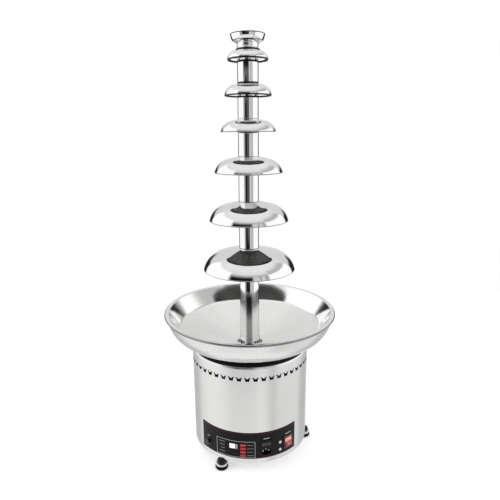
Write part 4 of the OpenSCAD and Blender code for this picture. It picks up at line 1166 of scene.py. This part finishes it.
def make_foot(k):
    """A levelling foot: the bracket's boss and arm, the steel ring on its stud, and the rubber pad."""
    place = front(FOOT_TURN + 120 * (k - 1), FOOT_AT, 0)
    boss_low = RING_TOP + 0.3
    boss_bore = STUD_R + 0.35
    boss = [(boss_bore, boss_low, 0.3), (BOSS_R, boss_low, 0.6), (BOSS_R, BASE_Z - 3.2, 5.5),
            (BOSS_R - 6.0, BASE_Z, 4.0), (boss_bore, BASE_Z, 0)]
    arm = [(-10, BASE_Z - 4, 0.8), (10, BASE_Z - 4, 0.8), (10, BASE_Z, 0.6), (-10, BASE_Z, 0.6)]
    bm = spin(fillet(boss, 9), 64)
    prism(fillet(arm, 4), -50, -5, bm)
    piece(f"foot_boss_{k}", bm, "boss", "foot_brackets", place=place)
    ring_low = PAD_H + 0.05
    stud_top = BASE_Z - 2
    ring = [(RING_R, ring_low, 0.8), (RING_R, RING_TOP, 1.8), (STUD_R, RING_TOP, 0.3),
            (STUD_R, stud_top, 0.5)]
    stud = disc_spin([(0, ring_low)] + fillet(ring, 6) + [(0, stud_top)], 72)
    piece(f"foot_ring_{k}", stud, "ring", f"foot_stud_{k}", body=f"foot_{k}", place=place)
    pad = [(0.1, 0, 0), (14.2, 0, 0.8), (PAD_R, 2.6, 1.2), (PAD_R, PAD_H - 2.0, 1.6),
           (PAD_R - 1.6, PAD_H, 0.8), (0.1, PAD_H, 0)]
    rubber = disc_spin([(0, 0)] + fillet(pad)[1:-1] + [(0, PAD_H)], 72)
    piece(f"foot_rubber_{k}", rubber, "rubber", f"foot_pad_{k}", body=f"foot_{k}", place=place)


# Finishes of the solids that stay as they are
KEPT_NODES = {
    "plain": ["base_plate", "base_screws", "top_deck", "gear_plate_lower", "gear_plate_upper",
              "gear_pillars", "motor_rotor", "pinion", "output_shaft", "board_standoffs"],
    "bronze": ["shaft_bush", "bearing_lower", "bearing_upper", "drive_gear"],
    "aluminium": ["heater_plate"],
    "iron": ["motor_can"],
    "board": ["control_board"],
    "lens": ["thermostat"],
    "rubber": ["shaft_seal"],
}


def finish_kept_nodes():
    for look, names in KEPT_NODES.items():
        for name in names:
            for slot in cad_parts[name].material_slots:
                slot.material = MAT[look]


# The studio's walls: turns from and to, their softness, the rise they reach, its softness, and the tone
WALLS = (
    (-52, 52, 4, 35, 8, 0.40),
    (13, 50, 3, 30, 7, 0.66),
    (30, 33, 0.8, 30, 7, 0.25),
    (45, 49, 0.8, 30, 7, 0.30),
    (56, 128, 5, 46, 9, 0.52),
    (-131, -51, 3, 43, 4, 1.15),
    (55, 131, 3, 30, 4, 1.15),
)
# The table round the part: turns from and to, their softness, and the tone
TABLE = (
    (-100, -38, 14, 0.96),
    (60, 104, 12, 0.82),
    (-28, 12, 9, 0.90),
    (17, 34, 6, 0.98),
    (41, 55, 5, 0.66),
)
TABLE_TONE = 0.86
TABLE_BACK_TONE = 0.56
CEILING_TONE = 0.90
ROOM_TONE = 0.74
GAP_TONE = 0.02
DARK_TONE = 0.008
LIFTED_TONE = 0.10


def make_world():
    """White for the camera. For everything else a studio: two white screens at the sides, a pale ceiling
    and back wall, dark gaps behind the screens, and the dark end of the room in front."""
    world = bpy.data.worlds.new("studio")
    bpy.context.scene.world = world
    world.use_nodes = True
    t = Tree(world.node_tree)
    x, y, z = t.split(t.add("TexCoord").outputs["Generated"])
    turn = t.times(t.math("ARCTAN2", x, t.times(y, -1.0)), 180 / pi)
    rise = t.times(t.math("ARCSINE", z), 180 / pi)
    aside = t.math("ABSOLUTE", turn)

    def band(value, low, high, soft):
        return t.times(t.step(value, low - soft, low + soft), t.step(value, high + soft, high - soft))

    def under(limit, soft):
        return t.step(rise, limit + soft, limit - soft)

    tone = t.mix(t.step(rise, 24, 62), rgb(ROOM_TONE), rgb(CEILING_TONE))
    for low, high, soft, limit, limit_soft, level in WALLS:
        tone = t.mix(t.times(band(turn, low, high, soft), under(limit, limit_soft)), tone, rgb(level))
    gaps = t.times(band(aside, 133, 162, 3.5), under(13.5, 5))
    tone = t.mix(gaps, tone, rgb(GAP_TONE))
    dark_high = t.times(t.times(band(turn, -46, 11, 3), under(28, 8)), t.step(rise, 5, 12))
    dark_low = t.times(band(turn, -34, 11, 2.5), under(9, 4))
    tone = t.mix(t.math("MAXIMUM", dark_low, dark_high), tone, rgb(DARK_TONE))
    lifted = t.times(band(turn, -14, 8, 3), band(rise, -12, 9, 2))
    tone = t.mix(lifted, tone, rgb(LIFTED_TONE))
    table = rgb(TABLE_TONE)
    for low, high, soft, level in TABLE:
        table = t.mix(band(turn, low, high, soft), table, rgb(level))
    table = t.mix(band(aside, 118, 156, 8), table, rgb(TABLE_BACK_TONE))
    table = t.mix(t.step(rise, -52, -70), table, rgb(0.97))
    tone = t.mix(t.step(rise, -21.5, -27), tone, table)
    seen = t.mix(t.add("LightPath").outputs["Is Camera Ray"], tone, rgb(1.0))
    background = t.add("Background", {"Color": seen, "Strength": 1.0})
    t.add("OutputWorld", {"Surface": background.outputs[0]})


def make_floor():
    """Pale paper that keeps the part's shadow and is lifted towards white for the camera."""
    material, t = new_material("floor_white")
    lift = t.times(t.add("LightPath").outputs["Is Camera Ray"], 0.42)
    paper = t.noise(t.object_place(), 40.0)
    diffuse = t.add("BsdfDiffuse", {"Color": t.mix(paper, rgb(0.84), rgb(0.86))})
    glow = t.add("Emission", {"Color": rgb(1.0), "Strength": lift})
    both = t.add("AddShader", {0: diffuse.outputs[0], 1: glow.outputs[0]})
    t.add("OutputMaterial", {"Surface": both.outputs[0]})
    bm = bmesh.new()
    bmesh.ops.create_circle(bm, cap_ends=True, radius=1.7, segments=128)
    mesh = to_mesh("floor", bm)
    mesh.materials.append(material)
    floor = add_object("floor", mesh)
    floor.visible_glossy = False


def make_softbox(name, side, watts):
    """A soft lamp beside the part, aimed at its middle; side is -1 on the left and 1 on the right."""
    light = bpy.data.lights.new(name, "AREA")
    light.shape = "RECTANGLE"
    light.size = 1.0
    light.size_y = 1.8
    light.energy = watts
    obj = add_object(name, light)
    obj.location = (2.0 * side, -0.7, 1.1)
    aim = Vector((0, 0, 0.5)) - obj.location
    obj.rotation_euler = aim.to_track_quat("-Z", "Y").to_euler()
    obj.visible_camera = False
    obj.visible_glossy = False


# The camera, in degrees and metres, and its focal length in pixels of the photograph
PHOTO_PX = 500
FOCAL_PX = 466.6
SENSOR = 36.0
YAW = 2.7
AIM = 0.098
PITCH_DOWN = 14.159
ROLL = 0.407
DISTANCE = 1.1248
HEIGHT = 0.8098


def make_camera():
    data = bpy.data.cameras.new("camera")
    data.sensor_fit = "HORIZONTAL"
    data.sensor_width = SENSOR
    data.lens = FOCAL_PX / PHOTO_PX * SENSOR
    camera = add_object("camera", data)
    yaw = radians(YAW)
    camera.matrix_world = (Matrix.Translation((DISTANCE * sin(yaw), -DISTANCE * cos(yaw), HEIGHT))
                           @ Matrix.Rotation(radians(YAW - AIM), 4, "Z")
                           @ Matrix.Rotation(radians(90 - PITCH_DOWN), 4, "X")
                           @ Matrix.Rotation(radians(-ROLL), 4, "Z"))
    bpy.context.scene.camera = camera


for i in range(DOME_N):
    make_tube(i)
make_tabs()
for i in range(DOME_N):
    make_dome(i)
make_crown()
make_screw()
make_bowl()
make_jacket()
make_gasket()
make_housing()
make_panel()
make_display()
make_keys()
make_switch()
make_fuse()
make_inlet()
make_lamps()
for k in (1, 2, 3):
    make_foot(k)
finish_kept_nodes()
make_world()
make_floor()
make_softbox("left_box", -1, 8)
make_softbox("right_box", 1, 7)
make_camera()
bpy.context.scene.view_settings.view_transform = "Standard"
